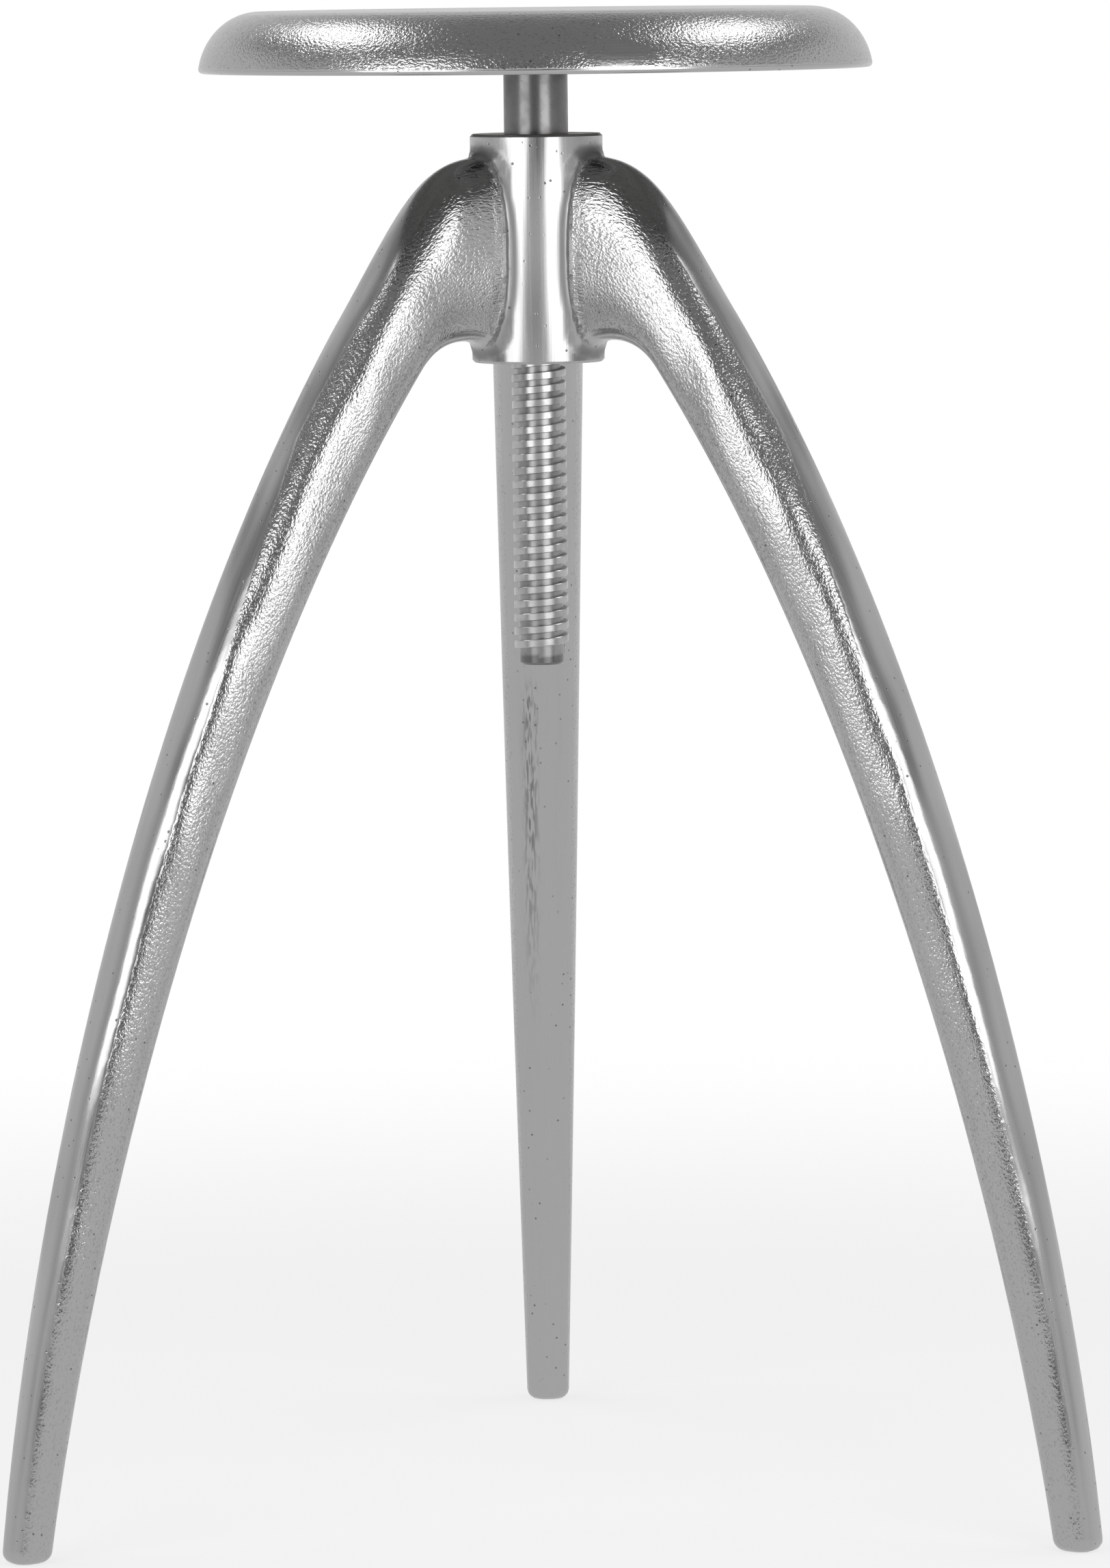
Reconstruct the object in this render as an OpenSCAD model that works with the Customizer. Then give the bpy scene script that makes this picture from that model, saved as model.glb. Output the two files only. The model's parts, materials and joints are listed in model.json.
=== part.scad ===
// Screw stool: a cast seat on a square-thread spindle that runs in a nut in the hub of a tripod.
// Millimetres, +Z up. The feet stand on Z = 0, and the origin is the middle of the outline on the floor.
// The legs stand at 210, 330 and 90 degrees, so two are in front and one is straight behind.

/* [Seat] */
// Diameter over the rim
seat_d = 314.5; // [280:0.5:360]
// Radius of the rounded rim
rim_round = 27.5; // [18:0.5:40]
// Height of the upright band below the rounded rim
rim_band_h = 1; // [0.5:0.25:4]
// Rounding of the rim's lower edge
rim_edge_r = 2; // [1:0.25:2.5]
// Thickness of the casting
seat_wall = 6; // [4:0.5:8]
// Diameter of the pad under the seat that the flange bears on
pad_d = 100; // [94:1:130]
// Height of that pad
pad_h = 6; // [4:0.5:10]
// Radius of the fillet round the pad
pad_fillet = 5; // [2:0.5:7]

/* [Hub] */
// Height of the hub's lower end above the floor
hub_z = 540.5; // [480:0.5:600]
// Length of the hub
hub_h = 106.5; // [104:0.5:140]
// Outside diameter of the hub
hub_d = 62; // [56:0.5:72]
// Chamfer at the hub's ends
hub_chamfer = 1; // [0.5:0.25:2]
// Height of the lip that the nut seats on
lip_h = 6; // [4:0.5:10]
// Gap between the hub and the seat's rim, as photographed
seat_gap = 29.5; // [20:0.5:60]

/* [Spindle] */
// Outside diameter of the square thread
thread_d = 25.4; // [22:0.1:27]
// Rise of the thread in one turn
thread_pitch = 6.25; // [5:0.05:8]
// Depth of the thread
thread_depth = 2.4; // [1.5:0.1:3.2]
// Length of thread that shows below the hub, as photographed
thread_below = 137.5; // [90:0.5:160]
// Length of the plain stub under the thread
stub_l = 4.5; // [2:0.5:12]
// Chamfer at the end of the stub
stub_chamfer = 1; // [0.5:0.25:1.75]
// Diameter of the plain shank
shank_d = 30; // [28:0.1:32]
// Diameter of the end that carries the flange
spigot_d = 24; // [18:0.5:27]

/* [Nut and bush] */
// Outside diameter of the nut and of the bush
nut_d = 42; // [38:0.5:46]
// Length of the nut
nut_l = 50; // [35:1:56]
// Clearance round the thread in its nut
thread_gap = 0.2; // [0.15:0.01:0.3]
// Clearance of the shank in its bush
shank_gap = 0.075; // [0.04:0.005:0.1]

/* [Flange] */
// Diameter of the flange under the seat
flange_d = 90; // [84:1:100]
// Thickness of the flange
flange_t = 8; // [5:0.5:10]
// Diameter of the circle of screws
screw_circle = 70; // [62:0.5:74]
// Number of screws
screw_count = 4; // [3:1:6]
// Nominal diameter of the screws
screw_d = 6; // [5:0.5:8]
// Length of the screws under the head
screw_l = 16; // [14:0.5:17]
// Thickness of the washers
washer_t = 1.6; // [1:0.1:2]
// Outside diameter of the rubber buffer ring
buffer_d = 48; // [40:0.5:52]
// Thickness of the rubber buffer ring
buffer_t = 6.7; // [5.7:0.1:10]

/* [Legs] */
// Distance of each foot's middle from the spindle's axis
leg_reach = 278.5; // [230:0.5:320]
// Width of a leg's web where it meets the hub
leg_w_root = 38; // [34:0.5:46]
// Width of a leg across its top, at the bend
leg_w_top = 43.5; // [36:0.5:48]
// Width of a leg at its foot
leg_w_foot = 21; // [18:0.5:30]
// Thickness of a leg at the top, square to its run
leg_t_top = 41.5; // [34:0.5:48]
// Thickness of a leg at its foot
leg_t_foot = 21; // [17:0.5:30]
// Slope of a leg from upright, just below the hub
leg_slope_top = 34; // [28:0.5:40]
// Slope of a leg from upright, at its foot
leg_slope_foot = 7.6; // [2:0.1:14]
// Distance of the bend under the hub from the spindle's axis
knee_r = 86; // [80:0.5:96]
// Height of that bend above the hub's lower end
knee_up = 8.5; // [4:0.5:14]
// Height of the leg's upper edge at the hub, above the hub's lower end
shoulder_up = 96; // [92:0.5:99]
// How far that edge runs out from the hub before it turns down
shoulder_run = 31; // [24:1:38]
// How much it falls over that run
shoulder_fall = 1.5; // [0.5:0.5:5]
// Length of its turn down into the leg
shoulder_turn = 58; // [45:1:66]
// Height of the leg's lower edge at the hub, above the hub's lower end
arch_up = 7.5; // [6:0.5:12]
// How far that edge rises, as far as it runs out, before it turns down
arch_rise = 5; // [3:0.5:8]
// Length of its turn down into the leg
arch_turn = 20; // [14:1:26]
// Bulge of a leg's side at half its height, beyond a straight taper
leg_bulge = 0.8; // [0:0.1:2]
// Fillet where the leg meets the hub
root_fillet = 5; // [2:0.5:6]
// Rounding of the foot's edge
foot_round = 5; // [3:0.5:6]

/* [Hidden] */
$fn = 96;

// The seat's levels
seat_z = hub_z + hub_h + seat_gap;
seat_h = rim_round + rim_band_h;
pad_z = seat_z + seat_h - seat_wall - pad_h;
flange_z = pad_z - flange_t;

// The hub's bore: the nut stands on the lip, and the bush stands on the nut
nut_z = hub_z + lip_h;
bush_z = nut_z + nut_l;
bush_l = hub_z + hub_h - bush_z;
lip_clear = 0.8;
soft_gap = 0.3;

// The thread: one ridge, as wide as the groove beside it
thread_r = thread_d / 2;
root_r = thread_r - thread_depth;
ridge_w = thread_pitch / 2;
thread_steps = 24;
facet_cos = cos(180 / thread_steps);
thread_z = hub_z - thread_below;
// The shank ends where the buffer ring can still come down onto the hub with the thread in the nut
shank_run = flange_z - soft_gap - buffer_t - hub_z - hub_h;
shank_z = bush_z + shank_run + 1;

// The screws and washers, in the proportions of common hexagon screws
screw_head_d = 1.92 * screw_d;
screw_head_h = 2 / 3 * screw_d;
screw_hole_d = 1.1 * screw_d;
washer_d = 2.1 * screw_d;
washer_hole_d = 1.05 * screw_d;
tap_spare = 1.6;
screw_tip_z = flange_z - washer_t + screw_l;

// The legs: their places round the hub, the sides of their skin, and how square their section is,
// where 2 is an ellipse and higher is squarer
LEG_ANGLES = [210, 330, 90];
leg_sides = 28;
section_power = 2.7;
sunk_rings = 4;
root_rings = 10;
leg_rings = 11;
foot_rings = 4;
// The share of a leg's straight length that each handle of its curve takes
handle_share = 0.307;
hub_r = hub_d / 2;
// The fillet at the hub leaves the neighbouring legs their own share of the hub's outside
hub_fillet = min(root_fillet, hub_r * sin(180 / len(LEG_ANGLES)) - leg_w_root / 2);
knee = [knee_r, hub_z + knee_up];
// The outline on the floor runs from the back foot to the front of the seat
axis_y = -(leg_reach + leg_t_foot / 2 - seat_d / 2) / 2;

// Puts a piece that is drawn round the Z axis on the spindle's axis
module on_axis(z = 0) {
    translate([0, axis_y, z]) children();
}

// Puts one copy at each screw of the flange
module at_screws() {
    for (i = [0 : screw_count - 1])
        rotate((i + 0.5) * 360 / screw_count) translate([screw_circle / 2, 0, 0]) children();
}

// ---- Square thread ----

// The four corners of the ridge at one step of the helix, from its lower root to its upper root
function ridge_corners(i, r_root, r_crest, w) =
    let (a = i * 360 / thread_steps, z = i * thread_pitch / thread_steps)
    [for (p = [[r_root, 0], [r_crest, 0], [r_crest, w], [r_root, w]])
        [p.x * cos(a), p.x * sin(a), z + p.y]];

// A level ring of corners round a plain part of the rod
function plain_corners(z, r) =
    [for (k = [0 : thread_steps - 1]) let (a = k * 360 / thread_steps) [r * cos(a), r * sin(a), z]];

// The triangles from a face's first corner to each of its other edges
function fan(face) = [for (i = [1 : len(face) - 2]) [face[0], face[i], face[i + 1]]];

// A threaded rod as one closed skin, with a plain part of the root's size below and above. The ridge
// starts at Z = 0 and climbs right-handed, and each turn's root ends where the next ridge begins.
module threaded_rod(turns, r_root, r_crest, w, below, above, chamfer) {
    n = thread_steps;
    last = turns * n;
    top_z = turns * thread_pitch + w + above;
    low = 4 * (last + 1);
    tip = low + n;
    high = tip + n;
    points = concat([for (i = [0 : last]) each ridge_corners(i, r_root, r_crest, w)],
                    plain_corners(chamfer - below, r_root), plain_corners(-below, r_root - chamfer),
                    plain_corners(top_z, r_root));
    ridge = [for (i = [0 : last - 1], j = [0 : 2])
        let (a = 4 * i + j, b = a + 4) each [[a, a + 1, b + 1], [a, b + 1, b]]];
    root = [for (i = [0 : last - n - 1])
        let (a = 4 * i + 3, b = 4 * (i + n)) each [[a, b, b + 4], [a, b + 4, a + 4]]];
    // The plain parts meet the first and the last turn. Where the ridge ends, its corners lie on
    // the edge of the face beside it, and that face takes them in.
    foot = [for (i = [0 : n - 2]) each [[low + i, 4 * i, 4 * i + 4], [low + i, 4 * i + 4, low + i + 1]]];
    foot_seam = fan([4 * (n - 1), 4 * n, 3, 0, low, low + n - 1]);
    first = 4 * (last - n) + 3;
    neck_seam = fan([first + 4, first, 4 * last, 4 * last + 3, high, high + 1]);
    neck = [for (i = [1 : n - 1])
        let (a = first + 4 * i, t = high + i, u = high + (i + 1) % n) each [[a, t, u], [a, u, a + 4]]];
    bevel = [for (k = [0 : n - 1])
        let (a = tip + k, b = tip + (k + 1) % n) each [[a, a - n, b - n], [a, b - n, b]]];
    ends = [[3, 2, 1, 0], [4 * last, 4 * last + 1, 4 * last + 2, 4 * last + 3],
            [for (k = [0 : n - 1]) tip + k], [for (k = [0 : n - 1]) high + n - 1 - k]];
    polyhedron(points, concat(ridge, root, foot, foot_seam, neck_seam, neck, bevel, ends),
               convexity = 20);
}

// ---- Legs ----

// A point on a cubic curve with four handles
function cubic(p, t) =
    pow(1 - t, 3) * p[0] + 3 * pow(1 - t, 2) * t * p[1] + 3 * (1 - t) * t * t * p[2] + pow(t, 3) * p[3];

// The direction of travel down a leg that slopes by this angle, in its own [r, z] plane
function downwards(slope) = [sin(slope), -cos(slope)];
function outwards(slope) = [cos(slope), sin(slope)];

// The middle line of a leg, from the knee to the foot
handle = handle_share * norm(knee - [leg_reach, 0]);
middle_line = [knee, knee + handle * downwards(leg_slope_top),
               [leg_reach, 0] - handle * downwards(leg_slope_foot), [leg_reach, 0]];

// The shoulder above and the arch below, from the hub to the knee
knee_out = knee + leg_t_top / 2 * outwards(leg_slope_top);
knee_in = knee - leg_t_top / 2 * outwards(leg_slope_top);
shoulder = [[hub_r, hub_z + shoulder_up], [hub_r + shoulder_run, hub_z + shoulder_up - shoulder_fall],
            knee_out - shoulder_turn * downwards(leg_slope_top), knee_out];
arch = [[hub_r, hub_z + arch_up], [hub_r + arch_rise, hub_z + arch_up + arch_rise],
        knee_in - arch_turn * downwards(leg_slope_top), knee_in];

// How far a fillet or rounding of radius r stands off at distance d from where it starts
function round_off(r, d) = d >= r ? 0 : r - sqrt(r * r - pow(r - d, 2));

// One rounded-square ring between an outer and an inner point. Each of its corners stands off by the
// hub's fillet, as near as it is to the hub, less what the foot's rounding takes away all round.
function ring(outer, inner, half_w, shrink) =
    let (mid = (outer + inner) / 2, half = (outer - inner) / 2, half_h = norm(half))
    [for (k = [0 : leg_sides - 1])
        let (a = (k + 0.5) * 360 / leg_sides,
             u = sign(cos(a)) * pow(abs(cos(a)), 2 / section_power),
             v = sign(sin(a)) * pow(abs(sin(a)), 2 / section_power),
             off_hub = norm([mid.x + u * half.x, v * half_w]) - hub_r,
             grow = round_off(hub_fillet, max(off_hub, 0)) - shrink,
             s = u * (1 + grow / half_h))
        [mid.x + s * half.x, v * (half_w + grow), mid.y + s * half.y]];

// A ring between the hub and the knee, moved back into the hub by some length. The web widens
// from the hub outwards, and more and more slowly.
function root_ring(t, back) =
    let (half_w = (leg_w_top - (leg_w_top - leg_w_root) * pow(1 - t, 2)) / 2)
    ring(cubic(shoulder, t) - [back, 0], cubic(arch, t) - [back, 0], half_w, 0);

// A ring between the knee and the foot, level at the foot, with the foot's edge rounded
function leg_ring(t) =
    let (c = cubic(middle_line, t), up = c.y / knee.y,
         slope = (leg_slope_foot + (leg_slope_top - leg_slope_foot) * (1 - t)) * (1 - pow(t, 8)),
         half_t = (leg_t_foot + (leg_t_top - leg_t_foot) * up) / 2,
         half_w = (leg_w_foot + (leg_w_top - leg_w_foot) * up) / 2 + leg_bulge * sin(180 * up))
    ring(c + half_t * outwards(slope), c - half_t * outwards(slope), half_w,
         round_off(foot_round, c.y));

// The rings inside the hub go back to where its outside takes in the whole end of the leg
root_half_w = leg_w_root / 2 + hub_fillet;
root_sink = hub_r - sqrt(hub_r * hub_r - root_half_w * root_half_w) + 1;
sunk_steps = [for (i = [0 : sunk_rings - 1]) root_sink * (1 - i / sunk_rings)];
// Where the rings stand along the two curves: closer at the hub's fillet and at the foot's rounding,
// which takes this share of the lower curve
foot_share = foot_round / (3 * handle * cos(leg_slope_foot));
root_steps = [for (i = [0 : root_rings - 1]) pow(i / root_rings, 1.4)];
leg_steps = [for (i = [0 : leg_rings]) (1 - foot_share) * i / leg_rings];
foot_steps = [for (i = [1 : foot_rings]) 1 - foot_share * (1 - sin(90 * i / foot_rings))];

// The skin of one leg, which runs out along +X from the spindle's axis
module leg_skin() {
    rings = concat([for (back = sunk_steps) root_ring(0, back)], [for (t = root_steps) root_ring(t, 0)],
                   [for (t = concat(leg_steps, foot_steps)) leg_ring(t)]);
    n = leg_sides;
    m = len(rings);
    sides = [for (i = [0 : m - 2], k = [0 : n - 1])
        let (a = i * n + k, b = i * n + (k + 1) % n) each [[a, b, b + n], [a, b + n, a + n]]];
    root_end = [for (k = [0 : n - 1]) n - 1 - k];
    foot_end = [for (k = [0 : n - 1]) (m - 1) * n + k];
    polyhedron([for (r = rings) each r], concat(sides, [root_end, foot_end]), convexity = 6);
}

// A leg at its angle round the hub, cut to the hub's outside so that the two meet face to face
module leg(angle) {
    color("silver")
        on_axis()
            difference() {
                rotate(angle) leg_skin();
                translate([0, 0, hub_z - 50]) cylinder(h = hub_h + 100, d = hub_d);
            }
}

module leg_left() {
    leg(LEG_ANGLES[0]);
}

module leg_right() {
    leg(LEG_ANGLES[1]);
}

module leg_back() {
    leg(LEG_ANGLES[2]);
}

// ---- Hub, nut and bush ----

module hub() {
    r_lip = thread_r + lip_clear;
    c = hub_chamfer;
    color("silver")
        on_axis(hub_z)
            rotate_extrude()
                polygon([[r_lip, 0], [hub_r - c, 0], [hub_r, c], [hub_r, hub_h - c], [hub_r - c, hub_h],
                         [nut_d / 2, hub_h], [nut_d / 2, lip_h], [r_lip, lip_h]]);
}

module thread_nut() {
    // The cutter keeps the phase of the spindle's own thread, and its ridge starts below the nut
    turns_up = floor((nut_z - thread_z) / thread_pitch) - 2;
    cutter_z = thread_z + turns_up * thread_pitch - thread_gap;
    turns = ceil(nut_l / thread_pitch) + 3;
    color("peru")
        on_axis()
            difference() {
                translate([0, 0, nut_z]) cylinder(h = nut_l, d = nut_d);
                translate([0, 0, cutter_z])
                    threaded_rod(turns, (root_r + thread_gap) / facet_cos,
                                 (thread_r + thread_gap) / facet_cos, ridge_w + 2 * thread_gap,
                                 thread_pitch, thread_pitch, thread_gap);
            }
}

module guide_bush() {
    color("peru")
        on_axis(bush_z)
            difference() {
                cylinder(h = bush_l, d = nut_d);
                translate([0, 0, -1]) cylinder(h = bush_l + 2, r = shank_d / 2 + shank_gap);
            }
}

// ---- Spindle ----

module spindle() {
    // Whole turns that end in a short neck under the shank, as a turned thread does
    turns = floor((shank_z - thread_z - ridge_w) / thread_pitch);
    neck_l = shank_z - thread_z - turns * thread_pitch - ridge_w;
    color("lightslategray")
        on_axis()
            union() {
                translate([0, 0, thread_z])
                    threaded_rod(turns, root_r, thread_r, ridge_w, stub_l, neck_l + 1, stub_chamfer);
                translate([0, 0, shank_z]) cylinder(h = flange_z - shank_z, d = shank_d);
                translate([0, 0, flange_z]) cylinder(h = flange_t, d = spigot_d);
            }
}

// ---- Seat ----

// Half a disc's section in its [r, z] plane, with its upper edge rounded by one radius
module rounded_half(r, h, round) {
    intersection() {
        union() {
            square([r - round, h]);
            square([r, h - round]);
            translate([r - round, h - round]) circle(r = round);
        }
        square([r, h]);
    }
}

// The same section with the small rounding of the lower edge taken off
module eased_half(r, h, round, edge) {
    intersection() {
        rounded_half(r, h, round);
        union() {
            square([r - edge, h]);
            translate([0, edge]) square([r, h]);
            translate([r - edge, edge]) circle(r = edge);
        }
    }
}

// The pad under the middle of the seat, with the fillet that blends it into the casting
module pad_half() {
    under = seat_h - seat_wall;
    translate([0, under - pad_h]) square([pad_d / 2, pad_h + seat_wall / 2]);
    difference() {
        translate([pad_d / 2 - 1, under - pad_fillet]) square([pad_fillet + 1, pad_fillet + seat_wall / 2]);
        translate([pad_d / 2 + pad_fillet, under - pad_fillet]) circle(r = pad_fillet);
    }
}

module seat() {
    tapped_depth = screw_tip_z + tap_spare - pad_z;
    color("gainsboro")
        difference() {
            on_axis(seat_z)
                rotate_extrude() {
                    difference() {
                        eased_half(seat_d / 2, seat_h, rim_round, rim_edge_r);
                        rounded_half(seat_d / 2 - seat_wall, seat_h - seat_wall, rim_round - seat_wall);
                    }
                    pad_half();
                }
            on_axis(pad_z)
                at_screws() translate([0, 0, -1]) cylinder(h = tapped_depth + 1, d = screw_d);
        }
}

module seat_flange() {
    color("slategray")
        on_axis(flange_z)
            difference() {
                cylinder(h = flange_t, d = flange_d);
                translate([0, 0, -1]) cylinder(h = flange_t + 2, d = spigot_d);
                at_screws() translate([0, 0, -1]) cylinder(h = flange_t + 2, d = screw_hole_d);
            }
}

module flange_screws() {
    color("lightgray")
        on_axis(flange_z - washer_t)
            at_screws() {
                cylinder(h = screw_l, d = screw_d);
                translate([0, 0, -screw_head_h]) cylinder(h = screw_head_h, d = screw_head_d, $fn = 6);
            }
}

module flange_washers() {
    color("darkgray")
        on_axis(flange_z - washer_t)
            at_screws()
                difference() {
                    cylinder(h = washer_t, d = washer_d);
                    translate([0, 0, -1]) cylinder(h = washer_t + 2, d = washer_hole_d);
                }
}

module buffer_ring() {
    color("dimgray")
        on_axis(flange_z - soft_gap - buffer_t)
            difference() {
                cylinder(h = buffer_t, d = buffer_d);
                translate([0, 0, -1]) cylinder(h = buffer_t + 2, r = shank_d / 2 + soft_gap);
            }
}

seat();
spindle();
hub();
leg_left();
leg_right();
leg_back();
thread_nut();
guide_bush();
seat_flange();
flange_screws();
flange_washers();
buffer_ring();
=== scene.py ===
"""Looks of a screw stool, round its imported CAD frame.

A polished cast-aluminium seat stands on a square-thread steel screw, which runs in the hub of a
cast-aluminium tripod. Sizes in the classes are in millimetres, and every mesh is in metres.
"""

import json
import logging
import math
from collections.abc import Callable
from dataclasses import dataclass, field
from enum import Enum
from functools import partial

import bmesh
import bpy
import numpy as np
from mathutils import Matrix, Vector
from mathutils.bvhtree import BVHTree
from mathutils.kdtree import KDTree
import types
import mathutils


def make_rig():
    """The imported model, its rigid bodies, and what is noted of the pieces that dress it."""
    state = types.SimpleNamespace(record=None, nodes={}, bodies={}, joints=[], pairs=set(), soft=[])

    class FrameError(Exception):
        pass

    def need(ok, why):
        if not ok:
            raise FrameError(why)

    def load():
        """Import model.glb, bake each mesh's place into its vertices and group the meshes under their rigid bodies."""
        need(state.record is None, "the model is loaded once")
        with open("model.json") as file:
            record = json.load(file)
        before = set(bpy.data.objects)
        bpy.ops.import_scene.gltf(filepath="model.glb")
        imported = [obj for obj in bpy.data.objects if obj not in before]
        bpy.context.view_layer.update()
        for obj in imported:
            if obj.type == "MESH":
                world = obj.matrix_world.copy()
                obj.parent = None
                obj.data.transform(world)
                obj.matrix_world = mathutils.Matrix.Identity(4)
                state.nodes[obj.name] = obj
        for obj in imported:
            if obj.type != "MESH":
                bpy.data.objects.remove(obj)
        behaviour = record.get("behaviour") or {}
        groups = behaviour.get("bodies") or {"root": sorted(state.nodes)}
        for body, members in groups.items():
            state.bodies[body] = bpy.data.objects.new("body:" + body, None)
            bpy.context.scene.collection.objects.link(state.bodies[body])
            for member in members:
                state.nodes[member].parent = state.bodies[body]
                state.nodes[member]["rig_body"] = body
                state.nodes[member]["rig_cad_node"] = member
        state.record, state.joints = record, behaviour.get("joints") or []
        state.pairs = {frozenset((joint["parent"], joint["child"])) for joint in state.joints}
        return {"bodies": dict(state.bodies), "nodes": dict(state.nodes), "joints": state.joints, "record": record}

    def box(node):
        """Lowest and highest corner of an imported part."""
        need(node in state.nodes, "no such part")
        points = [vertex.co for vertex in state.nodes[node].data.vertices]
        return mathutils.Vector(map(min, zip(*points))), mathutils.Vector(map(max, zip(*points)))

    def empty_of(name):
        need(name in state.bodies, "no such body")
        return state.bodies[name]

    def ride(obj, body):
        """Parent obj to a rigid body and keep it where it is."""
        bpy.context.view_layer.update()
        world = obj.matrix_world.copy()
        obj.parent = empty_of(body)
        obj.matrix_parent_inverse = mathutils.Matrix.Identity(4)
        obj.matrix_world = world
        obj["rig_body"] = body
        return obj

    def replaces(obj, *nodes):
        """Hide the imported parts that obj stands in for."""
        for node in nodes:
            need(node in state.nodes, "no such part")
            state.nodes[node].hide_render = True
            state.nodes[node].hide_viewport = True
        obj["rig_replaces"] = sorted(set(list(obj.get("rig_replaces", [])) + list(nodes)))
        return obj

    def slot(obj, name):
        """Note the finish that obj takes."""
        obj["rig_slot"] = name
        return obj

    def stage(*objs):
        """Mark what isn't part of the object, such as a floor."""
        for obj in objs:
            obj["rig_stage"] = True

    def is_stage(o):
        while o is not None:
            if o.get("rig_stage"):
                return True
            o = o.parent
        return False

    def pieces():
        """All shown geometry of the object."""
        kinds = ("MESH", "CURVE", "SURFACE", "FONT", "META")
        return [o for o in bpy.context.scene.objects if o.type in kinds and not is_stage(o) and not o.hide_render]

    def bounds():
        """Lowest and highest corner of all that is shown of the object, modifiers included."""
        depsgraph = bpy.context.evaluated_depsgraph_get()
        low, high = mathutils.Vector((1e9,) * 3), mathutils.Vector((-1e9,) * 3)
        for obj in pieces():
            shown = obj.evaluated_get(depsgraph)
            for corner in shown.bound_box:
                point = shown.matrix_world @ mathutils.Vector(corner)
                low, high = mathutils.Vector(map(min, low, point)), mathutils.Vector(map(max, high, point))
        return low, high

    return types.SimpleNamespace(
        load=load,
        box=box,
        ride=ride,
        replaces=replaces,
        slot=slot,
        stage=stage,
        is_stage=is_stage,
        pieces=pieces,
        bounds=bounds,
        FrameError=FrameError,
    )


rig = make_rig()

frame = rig.load()

log = logging.getLogger("stool")

Tree = bpy.types.NodeTree
Socket = bpy.types.NodeSocket
Adder = Callable[..., Socket]
Colour = tuple[float, ...]
Piece = bpy.types.Object
Materials = list[bpy.types.Material]
Pair = tuple[float, float]
Faces = list[tuple[int, ...]]

MM = 0.001
WHITE = (1.0, 1.0, 1.0, 1.0)
# Directions in the frame, whose y runs down
LEFT, RIGHT, UP, DOWN = (-1, 0), (1, 0), (0, -1), (0, 1)
# The photograph's frame, scaled so that its long side is 1568
FRAME_W, FRAME_H = 1110.0, 1568.0
# What the photograph shows, in that frame: x, y, or None where the other one is all that counts
POINTS: dict[str, tuple[float | None, float | None]] = {
    "left": (7.5, None),
    "right": (1101.8, None),
    "top": (None, 5.1),
    "bottom": (None, 1564.6),
    "seat_left": (198.2, None),
    "seat_right": (872.9, None),
    "seat_front_low": (535.2, 75.5),
    "hub_top_left": (469.6, 132.9),
    "hub_top_right": (601.5, 131.9),
    "hub_low_left": (471.4, 361.9),
    "hub_low_right": (603.9, 360.6),
    "stub_tip": (538.6, 665.1),
    "shoulder_left": (399.9, 205.1),
    "shoulder_right": (669.2, 205.1),
    "foot_left": (24.4, 1564.0),
    "foot_right": (1078.6, 1554.3),
    "foot_back": (544.8, 1399.2),
    "rubbed_rim": (618.6, 56.0),
    "scuffed_leg": (529.7, 690.0),
}


class Body(Enum):
    """The frame's moving bodies."""

    BASE = "base"
    LIFT = "lift"
    SEAT = "seat_and_screw"


class Slot(Enum):
    """The record's material slots that the pieces take."""

    SEAT = "cast_seat"
    TRIPOD = "cast_frame"
    STEEL = "turned_steel"
    PLATED = "plated_steel"
    RUBBER = "buffer_rubber"


def to_linear(colour: str) -> Colour:
    """Turns an sRGB hex colour into the linear one that shaders take.

    Args:
        colour: The colour, such as "#B4B4B4".

    Returns:
        Its red, green and blue, and 1.
    """
    parts = [int(colour[i : i + 2], 16) / 255 for i in (1, 3, 5)]
    line = [c / 12.92 if c <= 0.04045 else ((c + 0.055) / 1.055) ** 2.4 for c in parts]
    return line[0], line[1], line[2], 1.0


def add_node(tree: Tree, kind: str, inputs: dict | None = None, out: int | str = 0, **settings) -> Socket:
    """Adds one node with its settings, values and links.

    Args:
        tree: The node tree.
        kind: The node's type, after "ShaderNode".
        inputs: For each input, by name or number, the value or the output that feeds it.
        out: The output that is wanted, by name or number.
        **settings: The node's own properties.

    Returns:
        That output.
    """
    node = tree.nodes.new("ShaderNode" + kind)
    for name, value in settings.items():
        setattr(node, name, value)
    for key, value in (inputs or {}).items():
        if isinstance(value, Socket):
            tree.links.new(value, node.inputs[key])
        else:
            node.inputs[key].default_value = value
    return node.outputs[out]


def smooth(low: float, high: float, x: np.ndarray) -> np.ndarray:
    """Goes smoothly from 0 at low to 1 at high."""
    t = np.clip((x - low) / (high - low), 0, 1)
    return t * t * (3 - 2 * t)


# ---- Finishes ----


@dataclass(frozen=True)
class Finish:
    """A surface with one colour and roughness, which each kind of finish then breaks up."""

    name: str
    colour: str
    roughness: float
    metallic: float = 1.0

    def build(self) -> bpy.types.Material:
        """Makes the material.

        Returns:
            The material, with its marks.
        """
        material = bpy.data.materials.new(self.name)
        material.use_nodes = True
        tree = material.node_tree
        shader = tree.nodes["Principled BSDF"]
        shader.inputs["Base Color"].default_value = to_linear(self.colour)
        shader.inputs["Roughness"].default_value = self.roughness
        shader.inputs["Metallic"].default_value = self.metallic
        for name, output in self.dress(partial(add_node, tree)).items():
            tree.links.new(output, shader.inputs[name])
        return material

    def dress(self, node: Adder) -> dict[str, Socket]:
        """Adds the marks of how the surface was made.

        Args:
            node: What adds a node to the material's tree.

        Returns:
            What feeds each of the shader's inputs.
        """
        return {}

    def tone(self, light: float = 1.0) -> Colour:
        """The colour, made this many times as light."""
        return (*(c * light for c in to_linear(self.colour)[:3]), 1.0)


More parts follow.
